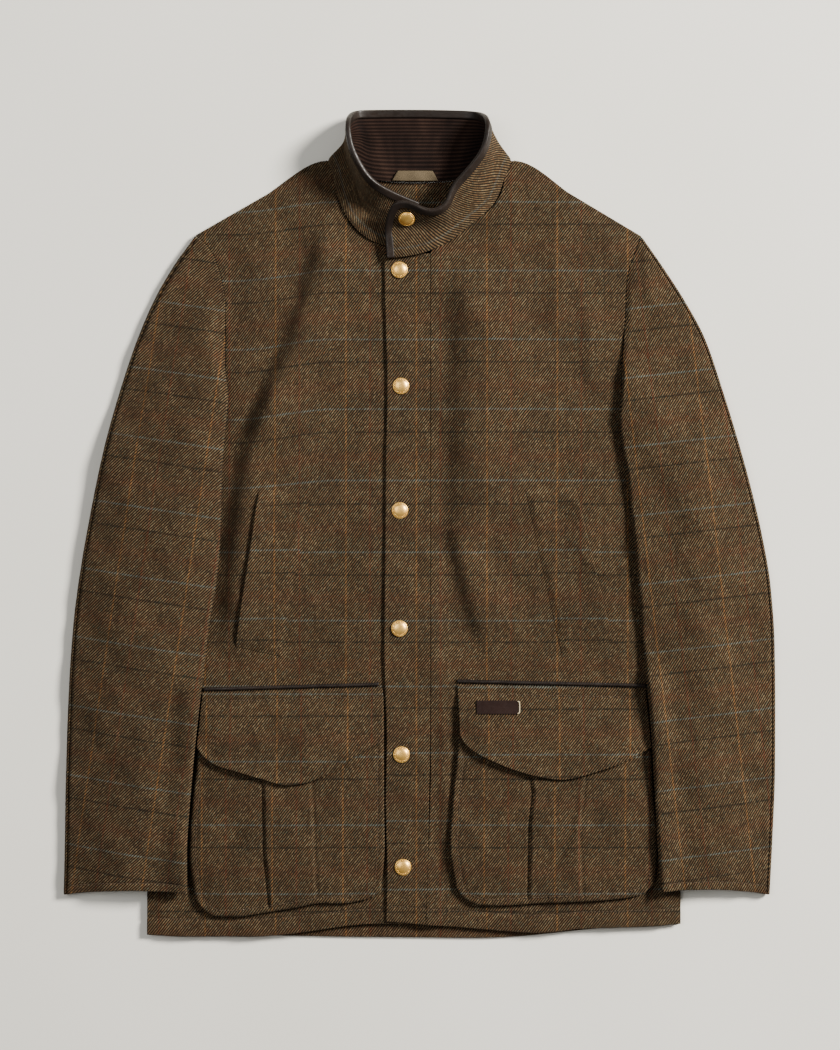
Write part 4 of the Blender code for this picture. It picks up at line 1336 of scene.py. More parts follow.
def make_pocket(side, tweed, thread):
    name = f"pocket_{side}"
    sections, foot = SIDES[side]["pocket"], SIDES[side]["pocket_foot"]
    grid, distances = sections_grid(sections, GRID_STEPS["pocket"], foot, POCKET_FADE)
    outline = pocket_outline(sections, foot)
    rim = distance_to_path(grid, outline)
    low = FRONT_TOP + SEAM_GAP + relief(grid)
    height = low + POCKET_WALL + pocket_lift(grid) + POCKET_BULGE * bulge(grid, outline)
    height = height + (pleat(grid, side) + folds(grid, POCKET_FOLDS)) * smooth(rim / POCKET_RIM)
    height = height - MOUTH_SINK * (1.0 - below_mouth(grid, "sink"))
    stitched = furrow(rim - RIM_STITCH) + puckers(grid, smooth(1.0 - rim / RIM_STITCH))
    height = height + stitched * below_mouth(grid, "stitches")
    wall = height - low
    top = laid_piece(f"{name}_cloth", name, name, grid, height, wall, distances, tweed)
    stitch_row(f"{name}_stitches", rim_line(outline, RIM_STITCH, top), thread)


def fold_x(line, y):
    """Where a fold's line down a pocket is at y."""
    xs, ys = np.array(line).T
    return np.interp(-y, -ys, xs)


def pleat(points, side):
    """The box pleat down a pocket: a strip that stands up between two folds, the picture's left one crisp."""
    x, y = points[..., 0], points[..., 1]
    left, right = (fold_x(line, y) for line in PLEAT_LINES[side])
    crisp, crisp_depth, crisp_half = PLEAT_EDGES["crisp"]
    soft, soft_depth, soft_half = PLEAT_EDGES["soft"]
    strip = smooth((x - left) / crisp + 0.5) * smooth((right - x) / soft + 0.5)
    groove = crisp_depth * np.exp(-(((x - left + GROOVE_AWAY) / crisp_half) ** 2))
    groove = groove + soft_depth * np.exp(-(((x - right - GROOVE_AWAY) / soft_half) ** 2))
    return (PLEAT_STEP * strip - groove) * below_mouth(points, "pleat")


def flap_height(points, side):
    """The top of a flap that lies over its pocket."""
    outline = pocket_outline(SIDES[side]["pocket"], SIDES[side]["pocket_foot"])
    rise = bulge(points, outline)
    under = POCKET_WALL + pocket_lift(points) + rise * (POCKET_BULGE + PLEAT_STEP)
    return FRONT_TOP + 2.0 * SEAM_GAP + relief(points) + under + FLAP_WALL


def make_flap(side, tweed, thread):
    name = f"flap_{side}"
    foot = np.array(SIDES[side]["flap_foot"])
    seam = SIDES[side]["seam"]
    start, end = np.array(seam[:2]), np.array(seam[2:])
    width = np.linalg.norm(end - start)
    across = edge_places(width, GRID_STEPS["flap_across"])
    places = (foot[:, 0] - foot[0, 0]) / (foot[-1, 0] - foot[0, 0])
    low = flow_at(places, foot, across / width)
    head = start + (end - start) * (across / width)[:, None]
    depth = np.linalg.norm(low - head, axis=1)
    share = edge_places(depth.max(), GRID_STEPS["flap_down"])[:, None] / depth.max()
    grid = head[None] + (low - head)[None] * share[:, :, None]
    left, right = (np.broadcast_to(reach, grid.shape[:2]) for reach in (across, width - across))
    distances = (left, right, share * depth[None, :], (1.0 - share) * depth[None, :])
    level = FRONT_TOP + relief(grid) + SEAM_GAP + FLAP_WALL
    hung = smooth(distances[2] / FLAP_HINGE)
    height = np.maximum(level + (flap_height(grid, side) - level) * hung, level)
    height = height + FLAP_CURL * smooth(1.0 - distances[3] / FLAP_CURL_REACH)
    height = height + furrow(distances[2] - FLAP_STITCH)
    top = laid_piece(f"{name}_cloth", name, name, grid, height, FLAP_WALL, distances, tweed)
    stitch_row(f"{name}_stitches", row_at(distances[2], FLAP_STITCH, top), thread)


# Flat patches, each a wall between four corners
def patch_grid(corners, step):
    a, b, c, d = (np.array(corner, float) for corner in corners)
    width = 0.5 * (np.linalg.norm(b - a) + np.linalg.norm(c - d))
    length = 0.5 * (np.linalg.norm(d - a) + np.linalg.norm(c - b))
    across, down = edge_places(width, step), edge_places(length, step)
    s, t = (across / width)[None, :, None], (down / length)[:, None, None]
    grid = (a * (1 - s) + b * s) * (1 - t) + (d * (1 - s) + c * s) * t
    return grid, grid_sides(across, down)


def leather_patch(name, node, kind, grid, low, wall, distances, leather):
    top, bottom = walled(grid, low + wall, wall, distances, EDGE_RADII[kind])
    settle(sheet_piece(name, top, bottom, leather, grid), [node])


def make_trim(side, leather):
    x0, y0, x1, y1 = FLAP_TRIMS[side]
    half = TRIM_WIDTH / 2.0
    corners = ((x0, y0 + half), (x1, y1 + half), (x1, y1 - half), (x0, y0 - half))
    grid, distances = patch_grid(corners, GRID_STEPS["trim"])
    low = FRONT_TOP + SEAM_GAP + relief(grid)
    name = f"flap_trim_{side}"
    leather_patch(f"{name}_leather", name, "trim", grid, low, TRIM_WALL, distances, leather)


def make_welt(side, tweed):
    name = f"welt_{side}"
    grid, distances = patch_grid(WELTS[side], GRID_STEPS["welt"])
    mouth, inner, head, foot = distances
    others = np.minimum(np.minimum(inner, head), foot)
    lift = WELT_LIFT * smooth(1.0 - mouth / WELT_MOUTH) * smooth(head / WELT_ENDS) * smooth(foot / WELT_ENDS)
    wall = WELT_EDGE_WALL + (WELT_WALL - WELT_EDGE_WALL) * smooth(others / WELT_EDGE_REACH)
    height = FRONT_TOP + WELT_SEAT + wall + relief(grid) + lift
    height = height + WELT_FURROW * furrow(others - WELT_STITCH)
    laid_piece(f"{name}_cloth", name, name, grid, height, wall, distances, tweed)


def make_label(leather, thread):
    """The bare leather label on the left flap, with the pale stitch round its far end."""
    grid, distances = patch_grid(LABEL_CORNERS, GRID_STEPS["label"])
    low = flap_height(grid, "left") + LABEL_SEAT
    leather_patch("label_leather", "label_patch", "label", grid, low, LABEL_WALL, distances, leather)
    plan = flow(LABEL_THREAD, np.linspace(0.0, 1.0, LABEL_THREAD_POINTS))
    height = flap_height(plan, "left") + LABEL_WALL + THREAD_RADIUS
    thread_piece("label_thread", *thread_tube(np.column_stack([plan, height]), THREAD_RADIUS), thread)


# Sleeves
def underarm_region(sections):
    """The part of the body that a sleeve lies on, as a closed path."""
    middle = UNDERARM_REACH if sections is LEFT_FRONT_SECTIONS else -UNDERARM_REACH
    foot = sections["armhole_foot"]
    path = [foot[:2], sections["underarm_mid"][:2]] + side_path(sections)
    edge_x, edge_y = sections["hem"][:2]
    low = edge_y - UNDERARM_LOW
    return path + [(edge_x, low), (middle, low), (middle, foot[1])]


def falloff(points, path, margin, fall):
    away = np.where(inside(points, path), 0.0, distance_to_path(points, path + path[:1]))
    return 1.0 - smooth((away - margin) / fall)


def sleeve_base(points, side):
    """The height that the underside of a sleeve lies at."""
    parts = SIDES[side]
    base = (FRONT_TOP + SLEEVE_CLEAR) * falloff(points, underarm_region(parts["front"]), BODY_MARGIN, BODY_FALL)
    outline = pocket_outline(parts["pocket"], parts["pocket_foot"])
    over_pocket = SEAM_GAP + POCKET_WALL + POCKET_LIFT
    base = base + over_pocket * falloff(points, outline, POCKET_MARGIN, POCKET_FALL)
    seam = parts["seam"]
    cover = [seam[:2], *parts["flap_foot"], seam[2:]]
    return base + (SEAM_GAP + FLAP_WALL) * falloff(points, cover, POCKET_MARGIN, POCKET_FALL)


def armhole_shift(side, places):
    """How far the points of the sleeve's top section move to follow the armhole and to lap over the body."""
    body = SIDES[side]["front"]
    shoulder, foot = np.array(body["shoulder"][:2]), np.array(body["armhole_foot"][:2])
    lap_end = np.array(SIDES[side]["sleeve"]["armhole"][2:])
    rows = list(body)
    armhole = [body[row][:2] for row in rows[: rows.index("armhole_foot") + 1]]
    curve = flow(armhole, np.clip(places, 0.0, 1.0))
    straight = shoulder + (lap_end - shoulder) * places[:, None]
    lap = smooth((places - LAP_FROM) / (1.0 - LAP_FROM))[:, None]
    gap = np.array([SIDES[side]["outwards"] * ARMHOLE_GAP, 0.0])
    return curve - straight + gap + (lap_end - foot - gap) * lap


def sleeve_ring(section, side, strength, bow, wall_in):
    """One closed section of a flattened sleeve, wall_in below its outer surface: its plan, the rise
    of its points, how far each belongs to the upper side and its place across from 0 to 1."""
    start = np.array(section[:2])
    along = np.array(section[2:]) - start
    width = np.linalg.norm(along)
    half = SLEEVE_THICK / 2.0
    radius = half - wall_in
    flats = half + (width - SLEEVE_THICK) * np.linspace(0.0, 1.0, SLEEVE_TOP_POINTS)
    low_flats = half + (width - SLEEVE_THICK) * np.linspace(1.0, 0.0, SLEEVE_LOW_POINTS)
    turns = np.radians(np.linspace(90.0, -90.0, SLEEVE_FOLD_POINTS + 2)[1:-1])
    reach = [(place, half + radius) for place in flats]
    reach += [(width - half + radius * math.cos(turn), half + radius * math.sin(turn)) for turn in turns]
    reach += [(place, half - radius) for place in low_flats]
    reach += [(half - radius * math.cos(turn), half - radius * math.sin(turn)) for turn in turns[::-1]]
    reach = np.array(reach)
    places = reach[:, 0] / width
    square = np.array([along[1], -along[0]]) / width
    plan = start + along * places[:, None] + armhole_shift(side, places) * strength
    plan = plan + square * (bow * 4.0 * places * (1.0 - places))[:, None]
    upper = smooth((reach[:, 1] - half) / radius)
    return plan, reach[:, 1], upper, np.clip(places, 0.0, 1.0)


def sleeve_loft(side, plan, part, place, cuff):
    """How far the sleeve's upper side stands up at a place down it, at its distance from the cuff."""
    crown, crown_place, fold_lift, rise_length = SLEEVE_FORM[side]
    skewed = part ** (math.log(0.5) / math.log(crown_place))
    loft = crown * np.sin(math.pi * skewed) ** CROWN_FULLNESS
    loft = loft + fold_lift * smooth(part / FOLD_LIFT_SPAN - FOLD_LIFT_FROM)
    flattened = 1.0 - CUFF_FLATTENING * smooth(1.0 - cuff / CUFF_FLAT_REACH)
    surface = folds(plan, SLEEVE_FOLDS) + SLEEVE_RIPPLE * ripples(plan) + furrow(cuff - CUFF_STITCH)
    surface = surface + puckers(plan, smooth(1.0 - cuff / CUFF_PUCKER_REACH))
    return (loft * flattened + surface) * smooth(place / rise_length)


def make_sleeve(side, tweed, thread):
    rows = np.array(list(SIDES[side]["sleeve"].values()))
    knots = section_knots(rows)
    down = edge_places(knots[-1], GRID_STEPS["sleeve"], CUFF_STITCH)
    lines = flow_at(knots, rows, down)
    order = np.interp(down, knots, np.arange(len(knots)))
    surfaces = []
    for wall_in in (0.0, WALL):
        rings = []
        for line, number, place in zip(lines, order, down):
            cuff = knots[-1] - place
            strength = max(0.0, 1.0 - number / ARMHOLE_FADE)
            bow = SIDES[side]["outwards"] * CUFF_BOW * smooth(1.0 - (len(knots) - 1 - number) / CUFF_ROWS)
            end_roll = rolled(min(place, cuff), CUFF_ROLL)
            inset = wall_in + end_roll if wall_in == 0.0 else wall_in - end_roll
            plan, rise, upper, part = sleeve_ring(line, side, strength, bow, inset)
            lofted = upper * sleeve_loft(side, plan, part, place, cuff)
            rings.append(np.column_stack([plan, sleeve_base(plan, side) + rise + lofted]))
        surfaces.append(np.array(rings))
    outer, inner = surfaces
    cloth = turned_cloth(outer[..., :2], *SLEEVE_GRAIN[side])
    piece = tube_piece(f"sleeve_{side}_cloth", outer, inner, tweed, cloth)
    settle_cloth(piece, f"sleeve_{side}", "sleeve")
    cuff_row = np.argmin(np.abs(knots[-1] - down - CUFF_STITCH))
    stitch_row(f"cuff_{side}_stitches", outer[cuff_row, :SLEEVE_TOP_POINTS], thread)


# Collar
def collar_middle(columns, rows):
    """The collar's middle surface as a grid [along, up, xyz], its normals on the corduroy side."""
    stations = np.array(list(COLLAR_STATIONS.values()))
    knots = np.arange(len(stations), dtype=float)
    lines = flow_at(knots, stations, columns)
    creases = np.array([0.0, COLLAR_CREASE, 1.0])
    grid = np.array([flow_at(creases, line.reshape(3, 3), rows) for line in lines])
    soften(grid, COLLAR_SOFTENING)
    return grid


def surface_normals(grid):
    normals = np.cross(np.gradient(grid, axis=0), np.gradient(grid, axis=1))
    return normals / np.linalg.norm(normals, axis=2, keepdims=True)


def round_corner(grid):
    """Rounds the corner where the free edge meets the left front end."""
    end = np.linalg.norm(grid - grid[-1:], axis=2).mean(axis=1)
    shaped = grid.copy()
    share = np.linspace(0.0, 1.0, grid.shape[1])
    for column, distance in enumerate(end):
        if distance >= CORNER_RADIUS:
            continue
        inset = CORNER_RADIUS - math.sqrt(CORNER_RADIUS**2 - (CORNER_RADIUS - distance) ** 2)
        kept = 1.0 - inset / way_along(grid[column])[-1]
        shaped[column] = read_line(share * kept, share, grid[column])
    return shaped


def arc_lengths(grid, axis):
    steps = np.linalg.norm(np.diff(grid, axis=axis), axis=2)
    total = np.cumsum(steps, axis=axis)
    pad = ((1, 0), (0, 0)) if axis == 0 else ((0, 0), (1, 0))
    return np.pad(total, pad)


def make_collar(tweed, corduroy, leather, ribbon):
    """The collar's tweed and its corduroy lining. It gives the middle surface between them."""
    last = len(COLLAR_STATIONS) - 1.0
    columns = np.linspace(0.0, last, int(last) * COLLAR_FINE + 1)
    end = last - np.array(COLLAR_END_COLUMNS)
    columns = np.unique(np.concatenate([columns, end]))
    rows = np.linspace(0.0, 1.0, COLLAR_ROWS)
    grid = round_corner(collar_middle(columns, rows))
    normals = surface_normals(grid)
    along = arc_lengths(grid, 0).mean(axis=1)[:, None] * np.ones(grid.shape[1])
    height = arc_lengths(grid, 1)
    even = rows[None, :] * np.median(height[:, -1]) * np.ones(grid.shape[:2])
    near = COLLAR_GAP / 2.0
    far = near + COLLAR_WALL
    sink = COLLAR_SINK * np.exp(-((height / COLLAR_SINK_REACH) ** 2))
    outside = grid - normals * (far - np.minimum(sink, COLLAR_WALL - COLLAR_THINNEST))[..., None]
    outer = sheet_piece("collar_cloth", grid - normals * near, outside, tweed, np.dstack([along, height]))
    settle_cloth(outer, "collar_outer", "collar")
    wale = 0.5 * WALE_DEPTH * (np.cos(2.0 * math.pi * even / WALE_PITCH) - 1.0)
    face = grid + normals * (far + wale)[..., None]
    inner = sheet_piece("collar_corduroy", face, grid + normals * near, corduroy, np.dstack([along, even]))
    settle_cloth(inner, "collar_facing", "collar")
    make_binding(grid, normals, far, leather)
    make_loop(grid, normals, far, ribbon)
    return grid, normals, far


def boundary(grid, normals):
    """The collar's free edge and then its left front end, evenly spaced, with normals and inward directions."""
    path = np.concatenate([grid[:, -1], grid[-1, ::-1][1:]])
    lift = np.concatenate([normals[:, -1], normals[-1, ::-1][1:]])
    way = way_along(path)
    even = np.linspace(0.0, way[-1], int(way[-1] / BINDING_FINE) + 1)
    path, lift = read_line(even, way, path), read_line(even, way, lift)
    soften(path, BINDING_SOFTENING)
    soften(lift, BINDING_SOFTENING)
    lift /= np.linalg.norm(lift, axis=1, keepdims=True)
    inward = np.cross(lift, np.gradient(path, axis=0))
    inward /= np.linalg.norm(inward, axis=1, keepdims=True)
    half = len(grid) // 2
    middle = grid[half, grid.shape[1] // 2] - grid[half, -1]
    nearest = np.argmin(np.linalg.norm(path - grid[half, -1], axis=1))
    if inward[nearest] @ middle < 0.0:
        inward = -inward
    return even, path, lift, inward


def binding_ring(tree, place, lifted, into, low):
    """One closed section of the binding: over the collar's edge from one side to the other, and back inside."""
    legs = []
    for reach in BINDING_LEGS:
        spot, normal, _, _ = tree.find_nearest(Vector(place + into * reach))
        normal = np.array(normal)
        if normal @ lifted < 0.0:
            normal = -normal
        legs.append((np.array(spot), normal))
    high = low + BINDING_SKIN
    tuck = legs[0][1] * BINDING_SKIN * BINDING_TUCK
    legs = legs[1:]
    upper = [spot + normal * high for spot, normal in reversed(legs)]
    upper[0] = upper[0] - tuck
    crest = []
    for turn in np.radians(BINDING_TURNS):
        over = into * (BINDING_CREST + BINDING_SKIN) * math.cos(turn)
        crest.append(place + lifted * high * math.sin(turn) - over)
    under = [spot - normal * high for spot, normal in legs]
    under[-1] = under[-1] + tuck
    back = [spot - normal * low for spot, normal in reversed(legs)]
    root = [place - into * BINDING_ROOT]
    return upper + crest + under + back + root + [spot + normal * low for spot, normal in legs]


def make_binding(grid, normals, far, leather):
    """A leather strip folded over the collar's free edge and its left front end."""
    even, path, lift, inward = boundary(grid, normals)
    tree = grid_tree(grid)
    rings = np.array([binding_ring(tree, *row, far + BINDING_CLEAR) for row in zip(path, lift, inward)])
    count, around = rings.shape[:2]
    points = rings.reshape(-1, 3)
    faces = facing_out(points, ring_faces(count, around)).tolist()
    index = corner_index(count, around)
    faces.append(index[0].tolist())
    faces.append(index[-1, ::-1].tolist())
    cloth = np.dstack([np.broadcast_to(even[:, None], (count, around)), arc_lengths(rings, 1)])
    piece = mesh_piece("collar_binding_leather", points, faces, leather, cloth.reshape(-1, 2))
    fix_normals(piece)
    settle(piece, ["collar_binding", "collar_end_binding"])


def make_loop(grid, normals, far, ribbon):
    """A short ribbon loop that hangs flat over the seam along the back neck."""
    centre = list(COLLAR_STATIONS).index("back_mid") * COLLAR_FINE
    across, up = np.linspace(-1.0, 1.0, LOOP_POINTS[0]), np.linspace(0.0, 1.0, LOOP_POINTS[1])
    index = np.arange(len(grid), dtype=float)
    spots = np.zeros((*LOOP_POINTS, 3))
    lifts = np.zeros_like(spots)
    for column, rise in enumerate(up):
        half = LOOP_HALF[0] + (LOOP_HALF[1] - LOOP_HALF[0]) * rise
        row = LOOP_ROWS[0] + (LOOP_ROWS[1] - LOOP_ROWS[0]) * rise
        low = int(row)
        line = grid[:, low] + (grid[:, low + 1] - grid[:, low]) * (row - low)
        spots[:, column] = read_line(centre + across * half, index, line)
        lifts[:, column] = read_line(centre + across * half, index, normals[:, low])
    belly = np.sin(math.pi * up)[None, :]
    crease = LOOP_CREASE * np.sin(LOOP_CREASE_WAVE * across + 1.0)[:, None] * belly
    bow = LOOP_BOW * np.cos(0.5 * math.pi * across)[:, None] + crease + LOOP_BELLY * belly
    top = spots + lifts * (far + SEAM_GAP + LOOP_WALL + bow)[..., None]
    cloth = np.dstack([arc_lengths(spots, 0), arc_lengths(spots, 1)])
    piece = sheet_piece("locker_loop_ribbon", top, top - lifts * LOOP_WALL, ribbon, cloth)
    settle(piece, ["locker_loop"])


# Press studs
def stud_spokes(count, side, up):
    turns = (2.0 * math.pi * np.arange(count) / count)[:, None]
    return np.cos(turns) * side + np.sin(turns) * up


def make_stud(name, node, centre, out, brass):
    """A domed cap with a rolled rim and a ring of beads, facing out."""
    out = np.asarray(out, float) / np.linalg.norm(out)
    side = np.cross(out, (0.0, 1.0, 0.0))
    side /= np.linalg.norm(side)
    up = np.cross(side, out)
    centre = np.asarray(centre, float)
    points = []
    spokes = stud_spokes(STUD_ROUND, side, up)
    for reach, rise in STUD_PROFILE:
        points += list(centre + spokes * reach * STUD_RADIUS + out * rise * STUD_HEIGHT)
    points += [centre, centre + out * STUD_HEIGHT]
    foot, crown = len(points) - 2, len(points) - 1
    faces = ring_faces(len(STUD_PROFILE), STUD_ROUND).tolist()
    last = (len(STUD_PROFILE) - 1) * STUD_ROUND
    for step in range(STUD_ROUND):
        after = (step + 1) % STUD_ROUND
        faces.append((after, step, foot))
        faces.append((last + step, last + after, crown))
    for spoke in stud_spokes(STUD_BEADS, side, up):
        place = centre + spoke * BEAD_REACH * STUD_RADIUS + out * BEAD_RISE * STUD_HEIGHT
        add_bead(points, faces, place, spoke, out)
    piece = mesh_piece(name, points, faces, brass)
    fix_normals(piece)
    settle(piece, [node])


def add_bead(points, faces, centre, spoke, out):
    """A small round bead added to lists of points and faces."""
    first = len(points)
    across = np.cross(spoke, out)
    for ring in range(1, BEAD_RINGS):
        polar = math.pi * ring / BEAD_RINGS
        flat = stud_spokes(BEAD_SIDES, spoke, across)
        points += list(centre + BEAD_RADIUS * (math.sin(polar) * flat + math.cos(polar) * out))
    points += [centre + BEAD_RADIUS * out, centre - BEAD_RADIUS * out]
    faces += (ring_faces(BEAD_RINGS - 1, BEAD_SIDES)[:, ::-1] + first).tolist()
    last = first + (BEAD_RINGS - 2) * BEAD_SIDES
    for step in range(BEAD_SIDES):
        after = (step + 1) % BEAD_SIDES
        faces.append((len(points) - 2, first + step, first + after))
        faces.append((len(points) - 1, last + after, last + step))


def make_studs(collar, brass):
    up = np.array([0.0, 0.0, 1.0])
    for name, (x, y) in STUDS.items():
        height = float(placket_height(np.array([x, y])))
        make_stud(f"{name}_cap", name, (x, y, height + STUD_SEAT), up, brass)
    grid, normals, far = collar
    station = list(COLLAR_STATIONS).index(COLLAR_STUD_STATION) * COLLAR_FINE
    row = int(round(COLLAR_STUD_PART * (COLLAR_ROWS - 1)))
    out = -normals[station, row]
    make_stud("snap_collar_cap", "snap_collar", grid[station, row] + out * (far + COLLAR_STUD_LIFT), out, brass)


# Materials
def srgb(red, green, blue):
    """A colour for a shader from sRGB values of 0 to 255."""
    channels = []
    for value in (red, green, blue):
        part = value / 255.0
        channels.append(part / 12.92 if part <= 0.04045 else ((part + 0.055) / 1.055) ** 2.4)
    return (*channels, 1.0)


class Recipe:
    """A material under construction: each call adds a node and returns its output."""

    def __init__(self, name, roughness, metallic=0.0):
        self.material = bpy.data.materials.new(name)
        self.material.use_nodes = True
        self.nodes = self.material.node_tree.nodes
        self.links = self.material.node_tree.links
        self.shader = self.nodes["Principled BSDF"]
        self.shader.inputs["Roughness"].default_value = roughness
        self.shader.inputs["Metallic"].default_value = metallic

    def feed(self, socket, value):
        if isinstance(value, bpy.types.NodeSocket):
            self.links.new(value, socket)
        else:
            socket.default_value = value

    def math(self, operation, a, b=0.0, c=0.0):
        node = self.nodes.new("ShaderNodeMath")
        node.operation = operation
        for socket, value in zip(node.inputs, (a, b, c)):
            self.feed(socket, value)
        return node.outputs[0]

    def vector(self, operation, a, b=(0.0, 0.0, 0.0), scale=1.0):
        node = self.nodes.new("ShaderNodeVectorMath")
        node.operation = operation
        self.feed(node.inputs[0], a)
        if operation == "SCALE":
            node.inputs["Scale"].default_value = scale
        else:
            self.feed(node.inputs[1], b)
        return node.outputs["Value"] if operation in ("DOT_PRODUCT", "LENGTH") else node.outputs[0]

    def attribute(self, name):
        node = self.nodes.new("ShaderNodeAttribute")
        node.attribute_name = name
        return node.outputs["Vector"]

    def place(self):
        """The point's own place in metres."""
        return self.nodes.new("ShaderNodeTexCoord").outputs["Object"]

    def noise(self, where, scale, detail=2.0, roughness=0.5):
        node = self.nodes.new("ShaderNodeTexNoise")
        self.feed(node.inputs["Vector"], where)
        node.inputs["Scale"].default_value = scale
        node.inputs["Detail"].default_value = detail
        node.inputs["Roughness"].default_value = roughness
        return node.outputs["Fac"]

    def random(self, where):
        node = self.nodes.new("ShaderNodeTexWhiteNoise")
        self.feed(node.inputs["Vector"], where)
        return node.outputs["Value"]

    def combine(self, x, y, z=0.0):
        node = self.nodes.new("ShaderNodeCombineXYZ")
        for socket, value in zip(node.inputs, (x, y, z)):
            self.feed(socket, value)
        return node.outputs[0]

    def cloth(self):
        """The point's place in the cloth in millimetres."""
        return self.vector("SCALE", self.attribute("cloth"), scale=1.0 / MILLIMETRE)

    def split(self, vector):
        node = self.nodes.new("ShaderNodeSeparateXYZ")
        self.feed(node.inputs[0], vector)
        return node.outputs[0], node.outputs[1], node.outputs[2]

    def between(self, value, low, high, to_low=0.0, to_high=1.0):
        """The value from low to high carried over to another range along a soft curve."""
        node = self.nodes.new("ShaderNodeMapRange")
        node.interpolation_type = "SMOOTHSTEP"
        self.feed(node.inputs["Value"], value)
        for name, number in (("From Min", low), ("From Max", high), ("To Min", to_low), ("To Max", to_high)):
            node.inputs[name].default_value = number
        return node.outputs["Result"]

    def mix(self, factor, a, b, blend="MIX"):
        node = self.nodes.new("ShaderNodeMix")
        node.data_type = "RGBA"
        node.blend_type = blend
        self.feed(node.inputs["Factor"], factor)
        # These are the node's colour sockets: A and B are also the names of its number sockets
        self.feed(node.inputs[6], a)
        self.feed(node.inputs[7], b)
        return node.outputs[2]

    def ramp(self, value, stops):
        node = self.nodes.new("ShaderNodeValToRGB")
        self.feed(node.inputs["Fac"], value)
        elements = node.color_ramp.elements
        while len(elements) < len(stops):
            elements.new(1.0)
        for element, (place, colour) in zip(elements, stops):
            element.position = place
            element.color = colour
        return node.outputs["Color"]

    def bump(self, height, distance):
        node = self.nodes.new("ShaderNodeBump")
        node.inputs["Distance"].default_value = distance * MILLIMETRE
        node.inputs["Strength"].default_value = 1.0
        self.feed(node.inputs["Height"], height)
        return node.outputs["Normal"]

    def surface(self, gloss, sheen=0.0, sheen_roughness=0.5, tint=(255, 255, 255)):
        """How glossy the surface is, and the soft sheen of its fibres."""
        self.shader.inputs["Specular IOR Level"].default_value = gloss
        self.shader.inputs["Sheen Weight"].default_value = sheen
        self.shader.inputs["Sheen Roughness"].default_value = sheen_roughness
        self.shader.inputs["Sheen Tint"].default_value = srgb(*tint)

    def finish(self, colour, normal=None, roughness=None):
        self.feed(self.shader.inputs["Base Color"], colour)
        if normal is not None:
            self.links.new(normal, self.shader.inputs["Normal"])
        if roughness is not None:
            self.feed(self.shader.inputs["Roughness"], roughness)
        return self.material


def stripe(recipe, value, period, centre, half, soft):
    """A mask that is 1 on a stripe in every repeat of the check, and 0 elsewhere."""
    away = recipe.math("WRAP", recipe.math("SUBTRACT", value, centre), period / 2.0, -period / 2.0)
    return recipe.between(recipe.math("ABSOLUTE", away), half - soft, half + soft, 1.0, 0.0)


